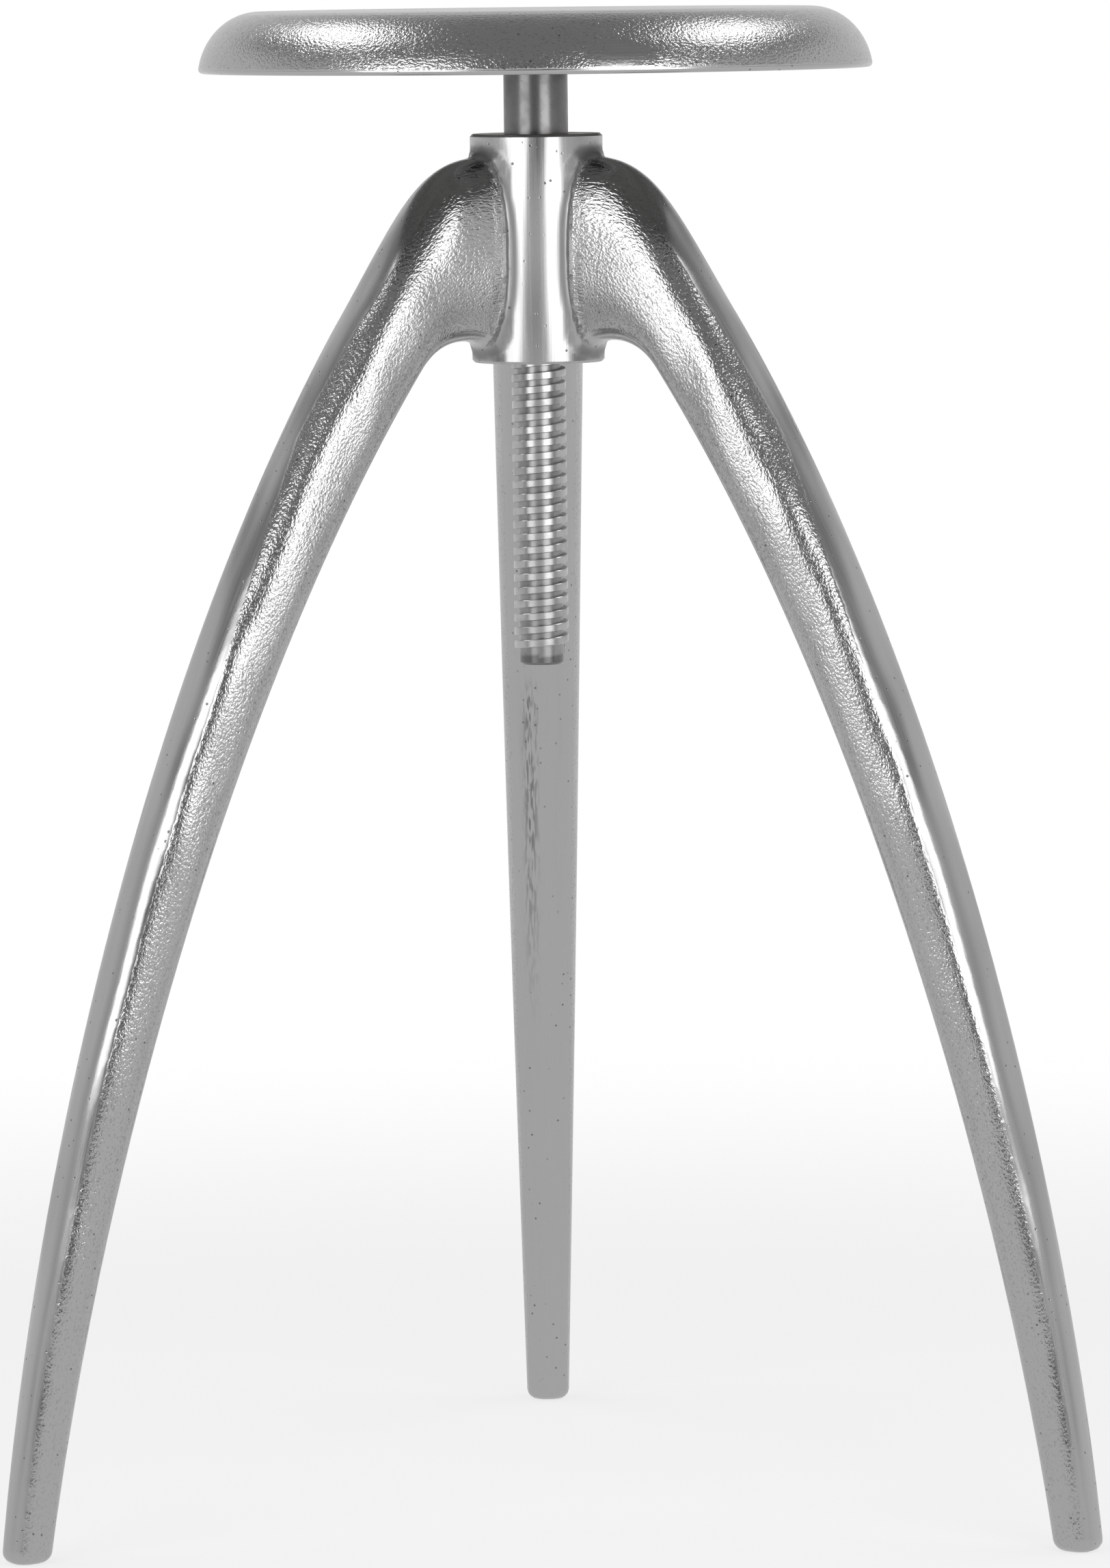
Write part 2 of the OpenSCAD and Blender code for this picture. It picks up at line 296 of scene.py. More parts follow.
@dataclass(frozen=True)
class PolishedCasting(Finish):
    """Sand-cast aluminium, polished on a soft mop and linished on a belt.

    The mop brightens the grain of the sand without taking it off, so those sides sparkle. The belt
    takes the grain off, so the edges it has been along are smooth, with long soft marks.
    """

    # The sand's grain, which is a little longer along the run than across it, and its height
    grain: Pair = (1.05, 1.5)
    grain_height: float = 0.34
    # The belt's marks: real ones are about 0.1 mm apart, drawn coarser so that they show
    mark: Pair = (0.8, 45.0)
    mark_height: float = 0.007
    # Gas pores that the belt has opened
    pore: float = 5.5
    pore_depth: float = 0.12
    pitted_roughness: float = 0.17
    # Slow hollows that a belt held by hand leaves, across and up
    hollow: Pair = (30.0, 75.0)
    hollow_depth: float = 0.0
    # The scuffs' slant in degrees, and how many there are to a metre each way
    scuff_slant: float = -13.0
    scuffs: tuple[float, float, float] = (900.0, 120.0, 110.0)

    def dress(self, node: Adder) -> dict[str, Socket]:
        """Mixes the mopped grain with the belt's marks, by the mesh's own "pitted" share.

        Args:
            node: What adds a node to the material's tree.

        Returns:
            What feeds each of the shader's inputs.
        """
        place = node("TexCoord", out="Object")
        run = node("Attribute", out="Vector", attribute_name="run")
        names = ("pitted", "crease", "scuffed")
        share, crease, scuffed = (node("Attribute", out="Fac", attribute_name=name) for name in names)
        # The border between the two wanders by a few millimetres
        wander = node("TexNoise", {"Vector": place, "Scale": 90.0, "Detail": 3.0})
        shifted = node("Math", {0: wander, 1: 0.55, 2: share}, operation="MULTIPLY_ADD")
        pitted = node("MapRange", {"Value": shifted, "From Min": 0.575, "From Max": 0.975})
        noises = []
        for source, (across, along), detail, gain in (
            (run, self.grain, 1.5, 0.55),
            (run, self.mark, 2.0, 0.5),
            (place, self.hollow, 0.0, 0.5),
        ):
            size = (1 / (across * MM), 1 / (across * MM), 1 / (along * MM))
            drawn = node("VectorMath", {0: source, 1: size}, operation="MULTIPLY")
            inputs = {"Vector": drawn, "Scale": 1.0, "Detail": detail, "Roughness": gain}
            noises.append(node("TexNoise", inputs))
        grain, marks, slow = noises
        cell = node("TexVoronoi", {"Vector": place, "Scale": 1 / (self.pore * MM)})
        pore = node("MapRange", {"Value": cell, "From Min": 0.12, "From Max": 0.06})
        cloud = node("TexNoise", {"Vector": place, "Scale": 35.0, "Detail": 2.0})
        few = node("MapRange", {"Value": cloud, "From Min": 0.37, "From Max": 0.5})
        pore = node("Math", {0: pore, 1: few}, operation="MULTIPLY")
        # Height in millimetres: grain where it is pitted, marks and pores where it isn't
        fine = node("Math", {0: marks, 1: self.mark_height}, operation="MULTIPLY")
        fine = node("Math", {0: pore, 1: -self.pore_depth, 2: fine}, operation="MULTIPLY_ADD")
        rough = node("Math", {0: grain, 1: self.grain_height}, operation="MULTIPLY")
        height = node("Mix", {0: pitted, 2: fine, 3: rough})
        height = node("Math", {0: slow, 1: self.hollow_depth, 2: height}, operation="MULTIPLY_ADD")
        # Marks vary the gloss as well, and the creases by the hub are dull
        ends = {"To Min": self.roughness - 0.06, "To Max": self.roughness + 0.06}
        streak = node("MapRange", {"Value": marks, "From Min": 0.3, "From Max": 0.7, **ends})
        gloss = node("Mix", {0: pitted, 2: streak, 3: self.pitted_roughness})
        gloss = node("Math", {0: crease, 1: 0.3, 2: gloss}, operation="MULTIPLY_ADD")
        # Dirt stays in the pores, in the lowest of the grain and in the creases
        low = node("MapRange", {"Value": grain, "From Min": 0.45, "From Max": 0.33, "To Max": 0.3})
        low = node("Math", {0: low, 1: pitted}, operation="MULTIPLY")
        dirt = node("Math", {0: low, 1: pore}, operation="MAXIMUM")
        dirt = node("Math", {0: crease, 1: 0.5, 2: dirt}, operation="MULTIPLY_ADD")
        # Scuffs are short slanting scratches
        turn = (0.0, math.radians(self.scuff_slant), 0.0)
        slant = node("Mapping", {0: place, "Rotation": turn, "Scale": self.scuffs})
        scratch = node("TexNoise", {"Vector": slant, "Scale": 1.0, "Detail": 1.0})
        scratch = node("MapRange", {"Value": scratch, "From Min": 0.45, "From Max": 0.58, "To Max": 0.75})
        dirt = node("Math", {0: scratch, 1: scuffed, 2: dirt}, operation="MULTIPLY_ADD")
        base = node("Mix", {0: dirt, 6: self.tone(), 7: self.tone(0.35)}, 2, data_type="RGBA")
        bump = node("Bump", {"Height": height, "Distance": MM})
        return {"Normal": bump, "Roughness": gloss, "Base Color": base}


@dataclass(frozen=True)
class SandCasting(Finish):
    """Aluminium as it came out of the sand: matt, grainy and slightly dull."""

    grain: float = 1.2
    grain_height: float = 0.12

    def dress(self, node: Adder) -> dict[str, Socket]:
        """Adds the sand's grain, with slow patches of a darker skin.

        Args:
            node: What adds a node to the material's tree.

        Returns:
            What feeds each of the shader's inputs.
        """
        place = node("TexCoord", out="Object")
        grain = node("TexNoise", {"Vector": place, "Scale": 1 / (self.grain * MM), "Detail": 2.0})
        cloud = node("TexNoise", {"Vector": place, "Scale": 30.0, "Detail": 4.0})
        base = node("Mix", {0: cloud, 6: self.tone(), 7: self.tone(0.72)}, 2, data_type="RGBA")
        bump = node("Bump", {"Height": grain, "Distance": self.grain_height * MM})
        return {"Normal": bump, "Base Color": base}


@dataclass(frozen=True)
class TurnedMetal(Finish):
    """Metal faced or turned on a lathe: fine rings round the spindle's axis, which catch the light."""

    axis_y: float = 0.0
    # Feed of the tool: real rings are about 0.15 mm apart, drawn coarser so that they show
    ring: float = 0.6
    ring_height: float = 0.006
    # How much darker the dirtiest places are, and how large they are
    dirt: float = 0.25
    cloud: float = 9.0
    # The colour where use has burnished it, by the mesh's own "burnished" share
    burnished: str = "#BEBEBE"

    def dress(self, node: Adder) -> dict[str, Socket]:
        """Adds rings by distance from the axis and by height, and darker, duller clouds of old oil.

        Args:
            node: What adds a node to the material's tree.

        Returns:
            What feeds each of the shader's inputs.
        """
        place = node("TexCoord", out="Object")
        axis = (0.0, -self.axis_y, 0.0)
        flat = node("VectorMath", {0: place, 1: (1.0, 1.0, 0.0), 2: axis}, operation="MULTIPLY_ADD")
        radius = node("VectorMath", {0: flat}, "Value", operation="LENGTH")
        high = node("SeparateXYZ", {0: place}, "Z")
        turn = node("Math", {0: radius, 1: high}, operation="ADD")
        inputs = {"W": turn, "Scale": 1 / (self.ring * MM), "Detail": 1.0}
        rings = node("TexNoise", inputs, noise_dimensions="1D")
        cloud = node("TexNoise", {"Vector": place, "Scale": 1 / (self.cloud * MM), "Detail": 4.0})
        oily = node("MapRange", {"Value": cloud, "From Min": 0.42, "From Max": 0.68, "To Max": self.dirt})
        names = ("groove", "burnished")
        groove, bright = (node("Attribute", out="Fac", attribute_name=name) for name in names)
        worn = node("Math", {0: groove, 1: 0.16, 2: oily}, operation="MULTIPLY_ADD")
        inputs = {0: bright, 6: self.tone(), 7: to_linear(self.burnished)}
        base = node("Mix", inputs, 2, data_type="RGBA")
        base = node("Mix", {0: worn, 6: base, 7: self.tone(0.3)}, 2, data_type="RGBA")
        gloss = node("Math", {0: worn, 1: 0.3, 2: self.roughness}, operation="MULTIPLY_ADD")
        bump = node("Bump", {"Height": rings, "Distance": self.ring_height * MM})
        return {"Normal": bump, "Roughness": gloss, "Base Color": base}


@dataclass(frozen=True)
class PlatedSteel(Finish):
    """Steel with bright zinc plating: a thin, slightly cloudy coat over the forged shape."""

    def dress(self, node: Adder) -> dict[str, Socket]:
        """Adds the plating's clouds to the gloss and the colour.

        Args:
            node: What adds a node to the material's tree.

        Returns:
            What feeds each of the shader's inputs.
        """
        cloud = node("TexNoise", {"Vector": node("TexCoord", out="Object"), "Scale": 420.0, "Detail": 3.0})
        ends = {"To Min": self.roughness - 0.08, "To Max": self.roughness + 0.12}
        gloss = node("MapRange", {"Value": cloud, **ends})
        base = node("Mix", {0: cloud, 6: self.tone(), 7: self.tone(0.75)}, 2, data_type="RGBA")
        bump = node("Bump", {"Height": cloud, "Distance": 0.01 * MM})
        return {"Normal": bump, "Roughness": gloss, "Base Color": base}


@dataclass(frozen=True)
class MouldedRubber(Finish):
    """Black moulded rubber: matt, with a fine bloom and a faintly uneven face."""

    metallic: float = 0.0

    def dress(self, node: Adder) -> dict[str, Socket]:
        """Adds the bloom and the mould's faint texture.

        Args:
            node: What adds a node to the material's tree.

        Returns:
            What feeds each of the shader's inputs.
        """
        place = node("TexCoord", out="Object")
        skin = node("TexNoise", {"Vector": place, "Scale": 900.0, "Detail": 3.0})
        bloom = node("TexNoise", {"Vector": place, "Scale": 60.0, "Detail": 4.0})
        base = node("Mix", {0: bloom, 6: self.tone(), 7: self.tone(2.262)}, 2, data_type="RGBA")
        return {"Normal": node("Bump", {"Height": skin, "Distance": 0.04 * MM}), "Base Color": base}


@dataclass(frozen=True)
class PaperFloor(Finish):
    """Matt white paper: it shows white, keeps a soft shadow, and is seen in the metal too."""

    metallic: float = 0.0
    # Share of the paper's white that doesn't depend on the lamps, near the object
    plain: float = 0.72
    # Distances over which the shadow fades into plain white, in metres
    near: float = 0.5
    far: float = 1.6
    # The paper's tone in the metal, at the near distance and at a further one
    mirrored: Pair = (0.78, 0.82)
    mirrored_far: float = 1.2

    def dress(self, node: Adder) -> dict[str, Socket]:
        """Mixes the lit paper with plain white, which takes over away from the object.

        Args:
            node: What adds a node to the material's tree.

        Returns:
            What feeds each of the shader's inputs.
        """
        rays = node("LightPath").node.outputs
        tree = rays[0].id_data
        lit = tree.nodes["Principled BSDF"].outputs[0]
        reach = node("VectorMath", {0: node("TexCoord", out="Object")}, "Value", operation="LENGTH")
        inputs = {"Value": reach, "From Min": self.near, "From Max": self.far, "To Min": self.plain}
        away = node("MapRange", inputs, interpolation_type="SMOOTHSTEP")
        # What the metal sees of it, and from below the paper isn't there
        inputs = {"Value": reach, "From Min": self.near, "From Max": self.mirrored_far}
        inputs |= {"To Min": self.mirrored[0], "To Max": self.mirrored[1]}
        tone = node("MapRange", inputs)
        behind = node("NewGeometry", out="Backfacing")
        layers = (
            ("MULTIPLY", "Is Camera Ray", away, node("Emission", {"Color": WHITE, "Strength": 1.0})),
            ("MAXIMUM", "Is Glossy Ray", rays["Is Transmission Ray"], node("Emission", {"Strength": tone})),
            ("MULTIPLY", "Is Camera Ray", behind, node("BsdfTransparent")),
        )
        for operation, ray, other, layer in layers:
            share = node("Math", {0: rays[ray], 1: other}, operation=operation)
            lit = node("MixShader", {0: share, 1: lit, 2: layer})
        tree.links.new(lit, tree.nodes["Material Output"].inputs["Surface"])
        return {}


# ---- Meshes ----


def new_object(name: str, mesh: bpy.types.Mesh) -> Piece:
    """Puts a mesh in the scene.

    Args:
        name: The object's name.
        mesh: Its mesh.

    Returns:
        The object.
    """
    piece = bpy.data.objects.new(name, mesh)
    bpy.context.scene.collection.objects.link(piece)
    return piece


def circle(radius: float | np.ndarray, height: float | np.ndarray, steps: int) -> np.ndarray:
    """Goes once round the axis, with one radius and height or one for each step, as rows of x, y, z."""
    angles = np.arange(steps) * 2 * math.pi / steps
    return np.stack([radius * np.cos(angles), radius * np.sin(angles), np.broadcast_to(height, steps)], 1)


def swung(points: np.ndarray, angle: float, axis_y: float) -> np.ndarray:
    """Swings corners round the axis.

    Args:
        points: Rows of x, y, z from the axis, in millimetres.
        angle: How far they are swung, in degrees.
        axis_y: The axis's y, in metres.

    Returns:
        Rows of x, y, z in metres.
    """
    c, s = math.cos(math.radians(angle)), math.sin(math.radians(angle))
    x, y, z = points.reshape(-1, 3).T
    return np.stack([x * c - y * s, x * s + y * c, z], 1) * MM + [0, axis_y, 0]


def quads(rows: int, across: int, closed: bool = True) -> Faces:
    """The faces between rows of corners.

    Args:
        rows: How many rows there are.
        across: How many corners each has.
        closed: Whether a row's last corner is joined to its first.

    Returns:
        The faces' corners.
    """
    steps = [(k, (k + 1) % across) for k in range(across if closed else across - 1)]
    starts = range(0, (rows - 1) * across, across)
    return [(n + k, n + j, n + across + j, n + across + k) for n in starts for k, j in steps]


def new_piece(
    name: str,
    points: np.ndarray,
    faces: Faces,
    materials: Materials,
    kinds: list[int] | None = None,
    crease: float = 35.0,
) -> Piece:
    """Makes a mesh piece, smooth but for its sharp edges.

    Args:
        name: The piece's name.
        points: The corners, in metres.
        faces: The corners of each face.
        materials: The materials on it.
        kinds: The number of each face's material.
        crease: The angle in degrees above which an edge is sharp.

    Returns:
        The piece, with doubled corners merged and the faces turned outwards.
    """
    mesh = bpy.data.meshes.new(name)
    mesh.from_pydata(points.tolist(), [], faces)
    for material in materials:
        mesh.materials.append(material)
    if kinds is not None:
        mesh.polygons.foreach_set("material_index", kinds)
    work = bmesh.new()
    work.from_mesh(mesh)
    bmesh.ops.remove_doubles(work, verts=work.verts, dist=2e-6)
    bmesh.ops.recalc_face_normals(work, faces=work.faces)
    work.to_mesh(mesh)
    work.free()
    mesh.shade_smooth()
    mesh.set_sharp_from_angle(angle=math.radians(crease))
    return new_object(name, mesh)


def turned(
    name: str,
    outline: list[Pair],
    axis_y: float,
    steps: int,
    materials: Materials,
    kinds: list[int] | None = None,
    crease: float = 35.0,
) -> Piece:
    """Turns a closed outline round an upright axis.

    Args:
        name: The piece's name.
        outline: The outline's (radius, height) corners, in millimetres.
        axis_y: The axis's y, in metres.
        steps: How many steps the turn has.
        materials: The materials on it.
        kinds: The number of the material on each edge of the outline.
        crease: The angle in degrees above which an edge is sharp.

    Returns:
        The piece.
    """
    points = np.concatenate([circle(r, z, steps) for r, z in outline]) * MM + [0, axis_y, 0]
    faces, index = [], []
    for face in quads(len(outline) + 1, steps):
        edge = face[0] // steps
        # An edge along the axis makes no surface
        if outline[edge][0] > 0 or outline[(edge + 1) % len(outline)][0] > 0:
            faces.append(tuple(v % len(points) for v in face))
            index.append(kinds[edge] if kinds else 0)
    return new_piece(name, points, faces, materials, index, crease)


def arc(centre: Pair, radius: float, start: float, end: float, steps: int) -> list[Pair]:
    """Points on an arc in an outline's plane.

    Args:
        centre: Its centre, as (radius, height) in millimetres.
        radius: Its radius in millimetres.
        start: Its first angle in degrees, from outwards towards up.
        end: Its last angle in degrees.
        steps: The number of steps along it.

    Returns:
        The points, both ends among them.
    """
    angles = np.radians(np.linspace(start, end, steps + 1))
    return [(centre[0] + radius * math.cos(a), centre[1] + radius * math.sin(a)) for a in angles]


def set_attribute(piece: Piece, name: str, values: np.ndarray) -> None:
    """Stores a number or a vector for each corner of a piece's mesh.

    Args:
        piece: The piece.
        name: The attribute's name.
        values: One value or one vector for each corner.
    """
    wide = values.ndim == 2
    attribute = piece.data.attributes.new(name, "FLOAT_VECTOR" if wide else "FLOAT", "POINT")
    attribute.data.foreach_set("vector" if wide else "value", values.astype(np.float32).ravel())


def corners_of(piece: Piece, what: str = "co") -> np.ndarray:
    """Reads the corners of a piece's mesh.

    Args:
        piece: The piece.
        what: "co" for their places in metres, or "normal".

    Returns:
        Rows of x, y, z.
    """
    flat = np.zeros(len(piece.data.vertices) * 3, np.float32)
    piece.data.vertices.foreach_get(what, flat)
    return flat.reshape(-1, 3).astype(float)


def move_corners(piece: Piece, points: np.ndarray) -> None:
    """Moves a piece's corners to rows of x, y, z."""
    piece.data.vertices.foreach_set("co", points.astype(np.float32).ravel())


def apply_modifiers(piece: Piece) -> None:
    """Bakes a piece's modifiers into its mesh.

    Args:
        piece: The piece, which changes.
    """
    bpy.context.view_layer.update()
    made = bpy.data.meshes.new_from_object(piece.evaluated_get(bpy.context.evaluated_depsgraph_get()))
    piece.modifiers.clear()
    piece.data = made


def tree_of(piece: Piece) -> BVHTree:
    """A search tree of a piece as it is finished and placed."""
    bpy.context.view_layer.update()
    return BVHTree.FromObject(piece, bpy.context.evaluated_depsgraph_get())


# ---- Camera ----


@dataclass
class Viewpoint:
    """The photographer's camera: a long lens, a little above the seat's height and tipped down."""

    place: tuple[float, float, float] = (-0.01331944, -3.91649384, 0.72873562)
    yaw: float = -0.00489
    pitch: float = -0.10024
    roll: float = -0.0110
    sensor: float = 36.0
    lens: float = 188.73
    turn: Matrix = field(init=False)

    def __post_init__(self) -> None:
        """Works out the camera's axes from its aim."""
        right = Vector((math.cos(self.yaw), math.sin(self.yaw), 0))
        ahead = Vector((-math.sin(self.yaw), math.cos(self.yaw), 0))
        up = Vector((0, 0, 1))
        aim = ahead * math.cos(self.pitch) + up * math.sin(self.pitch)
        top = up * math.cos(self.pitch) - ahead * math.sin(self.pitch)
        side = right * math.cos(self.roll) + top * math.sin(self.roll)
        top = top * math.cos(self.roll) - right * math.sin(self.roll)
        self.turn = Matrix((side, top, -aim)).transposed()

    def build(self) -> None:
        """Makes the scene's camera."""
        data = bpy.data.cameras.new("Camera")
        data.sensor_fit = "AUTO"
        data.sensor_width = self.sensor
        data.lens = self.lens
        data.clip_start, data.clip_end = 0.05, 400.0
        camera = bpy.data.objects.new("Camera", data)
        camera.matrix_world = Matrix.Translation(self.place) @ self.turn.to_4x4()
        bpy.context.scene.collection.objects.link(camera)
        bpy.context.scene.camera = camera
        log.info("camera: %.0f mm lens, aimed with no shift", self.lens)

    def seen(self, points: np.ndarray) -> np.ndarray:
        """Where points show in the photograph's frame.

        Args:
            points: Rows of x, y, z in metres.

        Returns:
            Rows of x, y in the frame.
        """
        local = (points - np.array(self.place)) @ np.array(self.turn)
        scale = FRAME_H * self.lens / self.sensor / -local[:, 2]
        return np.stack([FRAME_W / 2 + local[:, 0] * scale, FRAME_H / 2 - local[:, 1] * scale], 1)

    def place_on(self, name: str, piece: Piece) -> Vector:
        """Finds the place on a piece that shows at a point of the photograph.

        Args:
            name: The point's name.
            piece: The piece that carries it.

        Returns:
            The place, in metres.

        Raises:
            ValueError: If the piece doesn't show there.
        """
        x, y = POINTS[name]
        ray = Vector((x - FRAME_W / 2, FRAME_H / 2 - y, -FRAME_H * self.lens / self.sensor))
        hit = tree_of(piece).ray_cast(Vector(self.place), (self.turn @ ray).normalized())[0]
        if hit is None:
            raise ValueError(f"{piece.name} doesn't show at {name}")
        return hit


# ---- The tripod ----


@dataclass
class Tripod:
    """The casting: a hub and three legs that swell into it, with its ends and bore machined.

    Pairs are a leg's sizes at its knee and at its foot, where it is a tapered, curved bar.
    """

    finish: PolishedCasting
    cut_finish: TurnedMetal
    axis_y: float
    hub_z: float = 540.5
    hub_h: float = 106.5
    hub_r: float = 31.0
    chamfer: float = 1.2
    bore_r: float = 21.0
    lip_r: float = 13.5
    lip_h: float = 6.0
    angles: tuple[float, float, float] = (210.0, 330.0, 90.0)
    reach: float = 278.5
    wide: Pair = (43.5, 21.0)
    root_wide: float = 38.0
    thick: Pair = (41.5, 21.0)
    slope: Pair = (34.0, 7.6)
    bulge: float = 0.8
    # The knee's radius and its height above the hub's foot
    knee: Pair = (86.0, 8.5)
    # The web's upper edge: height at the hub, run, fall, and handle at the knee. Then its lower one
    shoulder: tuple[float, float, float, float] = (96.0, 31.0, 1.5, 58.0)
    arch: tuple[float, float, float] = (7.5, 5.0, 20.0)
    handle_share: float = 0.307
    # Fillets where a leg meets the hub: above and below the web, and beside it
    fillet: float = 5.0
    side_fillet: float = 0.6
    foot_round: float = 5.0
    # The section is a rounded square, of this power and this many corners
    power: float = 2.7
    sides: int = 96
    # How far inside the hub the first rings are, and how many there are in the web, leg and foot
    buried: tuple[float, ...] = (20.0, 14.0, 9.0, 5.0, 2.0)
    web_rings: int = 43
    shank_rings: int = 130
    foot_rings: int = 10
    # How far round to the side the belt has been on the outer edge, by height: 1 is all the way
    belt_edge: tuple[Pair, ...] = (
        (0, 0.72), (300, 0.86), (400, 0.8), (450, 0.6), (510, 0.15), (560, 0.3), (600, 0.5), (650, 0.6),
    )
    # The inner edge's own share, and how softly each ends
    belt_inner: Pair = (0.68, 0.86)
    belt_soft: float = 0.09
    # How far from the barrel grain is left in its corners with the webs
    corner_reach: Pair = (8.0, 14.0)
    # The share of the grain worn off low on a leg, and the lengths down it between which it goes
    worn: float = 0.45
    worn_length: Pair = (300.0, 640.0)
    # The scuffed band: half its width, and where it starts and ends from its mark, softly each time
    scuff_half: Pair = (4.2, 1.5)
    scuff_start: Pair = (8.0, -6.0)
    scuff_end: Pair = (-190.0, -60.0)
    # Edge of the voxels that join the legs to the hub, and how far the blank hub's ends stand out
    voxel: float = 1.95
    spare: float = 4.0
    # Distances from the seam over which corners are pulled true, creased and softened
    pulled: Pair = (0.5, 2.2)
    creased: Pair = (0.5, 2.4)
    softened: Pair = (0.8, 2.8)
    steps: int = 180

    @staticmethod
    def heading(angle: float) -> np.ndarray:
        """A direction in a leg's (radius, height) plane: its slope is outwards, and 90 less is down it."""
        return np.array([math.cos(math.radians(angle)), math.sin(math.radians(angle))])

    @staticmethod
    def cubic(p: list[np.ndarray], t: float) -> np.ndarray:
        """A point on a cubic curve with four handles."""
        s = 1 - t
        return s**3 * p[0] + 3 * s * s * t * p[1] + 3 * s * t * t * p[2] + t**3 * p[3]

    @staticmethod
    def between(pair: Pair, share: float) -> float:
        """A size between the foot's, at 0, and the knee's, at 1."""
        return pair[1] + (pair[0] - pair[1]) * share

    @staticmethod
    def round_off(radius: float | np.ndarray, distance: float | np.ndarray) -> np.ndarray:
        """How far a fillet of that radius stands off at a distance from where it starts."""
        d = np.minimum(distance, radius)
        return radius - np.sqrt(np.maximum(radius * radius - (radius - d) ** 2, 0))

    def ring(self, outer: np.ndarray, inner: np.ndarray, wide: float, shrink: float = 0.0) -> np.ndarray:
        """One rounded-square ring of a leg.

        Args:
            outer: Its outermost point in the leg's plane.
            inner: Its innermost one.
            wide: Its width.
            shrink: What the foot's rounding takes off all round.

        Returns:
            Its corners, in millimetres, for a leg along +X.
        """
        mid, half, half_w = (outer + inner) / 2, (outer - inner) / 2, wide / 2
        a = (np.arange(self.sides) + 0.5) * 2 * math.pi / self.sides
        u, v = (np.sign(w) * np.abs(w) ** (2 / self.power) for w in (np.cos(a), np.sin(a)))
        off = np.maximum(np.hypot(mid[0] + u * half[0], v * half_w) - self.hub_r, 0)
        s = u * (1 + (self.round_off(self.fillet, off) - shrink) / float(np.linalg.norm(half)))
        turn_in = self.side_fillet + (self.fillet - self.side_fillet) * smooth(0.55, 0.95, np.abs(u))
        beside = half_w + self.round_off(turn_in, off) - shrink
        return np.stack([mid[0] + s * half[0], v * beside, mid[1] + s * half[1]], 1)

    def leg_rings(self) -> tuple[np.ndarray, np.ndarray, np.ndarray]:
        """The rings of a leg along +X, from inside the hub to the floor.

        Returns:
            The rings' corners, and each ring's middle and direction, in millimetres.
        """
        knee, foot = np.array([self.knee[0], self.hub_z + self.knee[1]]), np.array([self.reach, 0.0])
        handle = self.handle_share * float(np.linalg.norm(knee - foot))
        down, off = self.heading(self.slope[0] - 90), self.thick[0] / 2 * self.heading(self.slope[0])
        middle = [knee, knee + handle * down, foot - handle * self.heading(self.slope[1] - 90), foot]
        root = np.array([self.hub_r, self.hub_z])
        up, run, fall, hold = self.shoulder
        top = [root + [0, up], root + [run, up - fall], knee + off - hold * down, knee + off]
        up, rise, hold = self.arch
        low = [root + [0, up], root + [rise, up + rise], knee - off - hold * down, knee - off]
        rings = [self.ring(top[0] - [b, 0], low[0] - [b, 0], self.root_wide) for b in self.buried]
        # The web's rings are closest together by the hub
        for t in np.linspace(0, 1, self.web_rings + 1)[:-1] ** 1.3:
            wide = self.wide[0] - (self.wide[0] - self.root_wide) * (1 - t) ** 2
            rings.append(self.ring(self.cubic(top, t), self.cubic(low, t), wide))
        share = self.foot_round / (3 * handle * math.cos(math.radians(self.slope[1])))
        turns = (np.arange(self.foot_rings) + 1) * math.pi / 2 / self.foot_rings
        for t in [*np.linspace(0, 1 - share, self.shank_rings), *(1 - share * (1 - np.sin(turns)))]:
            c = self.cubic(middle, t)
            high = c[1] / knee[1]
            slope = self.between(self.slope, 1 - t)
            away = self.between(self.thick, high) / 2 * self.heading(slope * (1 - t**8))
            wide = self.between(self.wide, high) + 2 * self.bulge * math.sin(math.pi * high)
            rings.append(self.ring(c + away, c - away, wide, float(self.round_off(self.foot_round, c[1]))))
        grid = np.array(rings)
        centres = grid.mean(1)
        ways = np.gradient(centres, axis=0)
        return grid, centres, ways / np.linalg.norm(ways, axis=1)[:, None]

    def blank(self) -> tuple[Piece, BVHTree]:
        """The legs and an over-long hub, still as separate closed skins in one mesh.

        Returns:
            The mesh object, and a search tree of the legs alone.
        """
        grid = self.leg_rings()[0]
        m, n = grid.shape[:2]
        leg = quads(m, n) + [tuple(reversed(range(n))), tuple(range((m - 1) * n, m * n))]
        points = np.concatenate([swung(grid, angle, self.axis_y) for angle in self.angles])
        faces = [tuple(v + i * m * n for v in face) for i in range(len(self.angles)) for face in leg]
        legs = BVHTree.FromPolygons(points.tolist(), faces)
        steps, shift = 160, len(points)
        levels = (self.hub_z - self.spare, self.hub_z + self.hub_h + self.spare)
        ends = [circle(self.hub_r, z, steps) for z in levels]
        hub = quads(2, steps) + [tuple(reversed(range(steps))), tuple(range(steps, 2 * steps))]
        faces += [tuple(v + shift for v in face) for face in hub]
        points = np.concatenate([points, swung(np.array(ends), 0, self.axis_y)])
        mesh = bpy.data.meshes.new("tripod_blank")
        mesh.from_pydata(points.tolist(), [], faces)
        return new_object("tripod_casting", mesh), legs

    def fuse(self, piece: Piece, legs: BVHTree) -> None:
        """Makes one skin of the blank, true to the legs and the hub, and soft where they meet.

        Args:
            piece: The blank, which changes.
            legs: The search tree of the legs.
        """
        remesh = piece.modifiers.new("fuse", "REMESH")
        remesh.mode = "VOXEL"
        remesh.voxel_size = self.voxel * MM
        apply_modifiers(piece)
        corners = corners_of(piece)
        out = corners[:, :2] - [0, self.axis_y]
        radius = np.hypot(out[:, 0], out[:, 1])
        off_hub = np.abs(radius - self.hub_r * MM)
        near = [legs.find_nearest(Vector(c)) for c in corners]
        off_leg = np.array([h[3] for h in near])
        seam = np.maximum(off_leg, off_hub) / MM
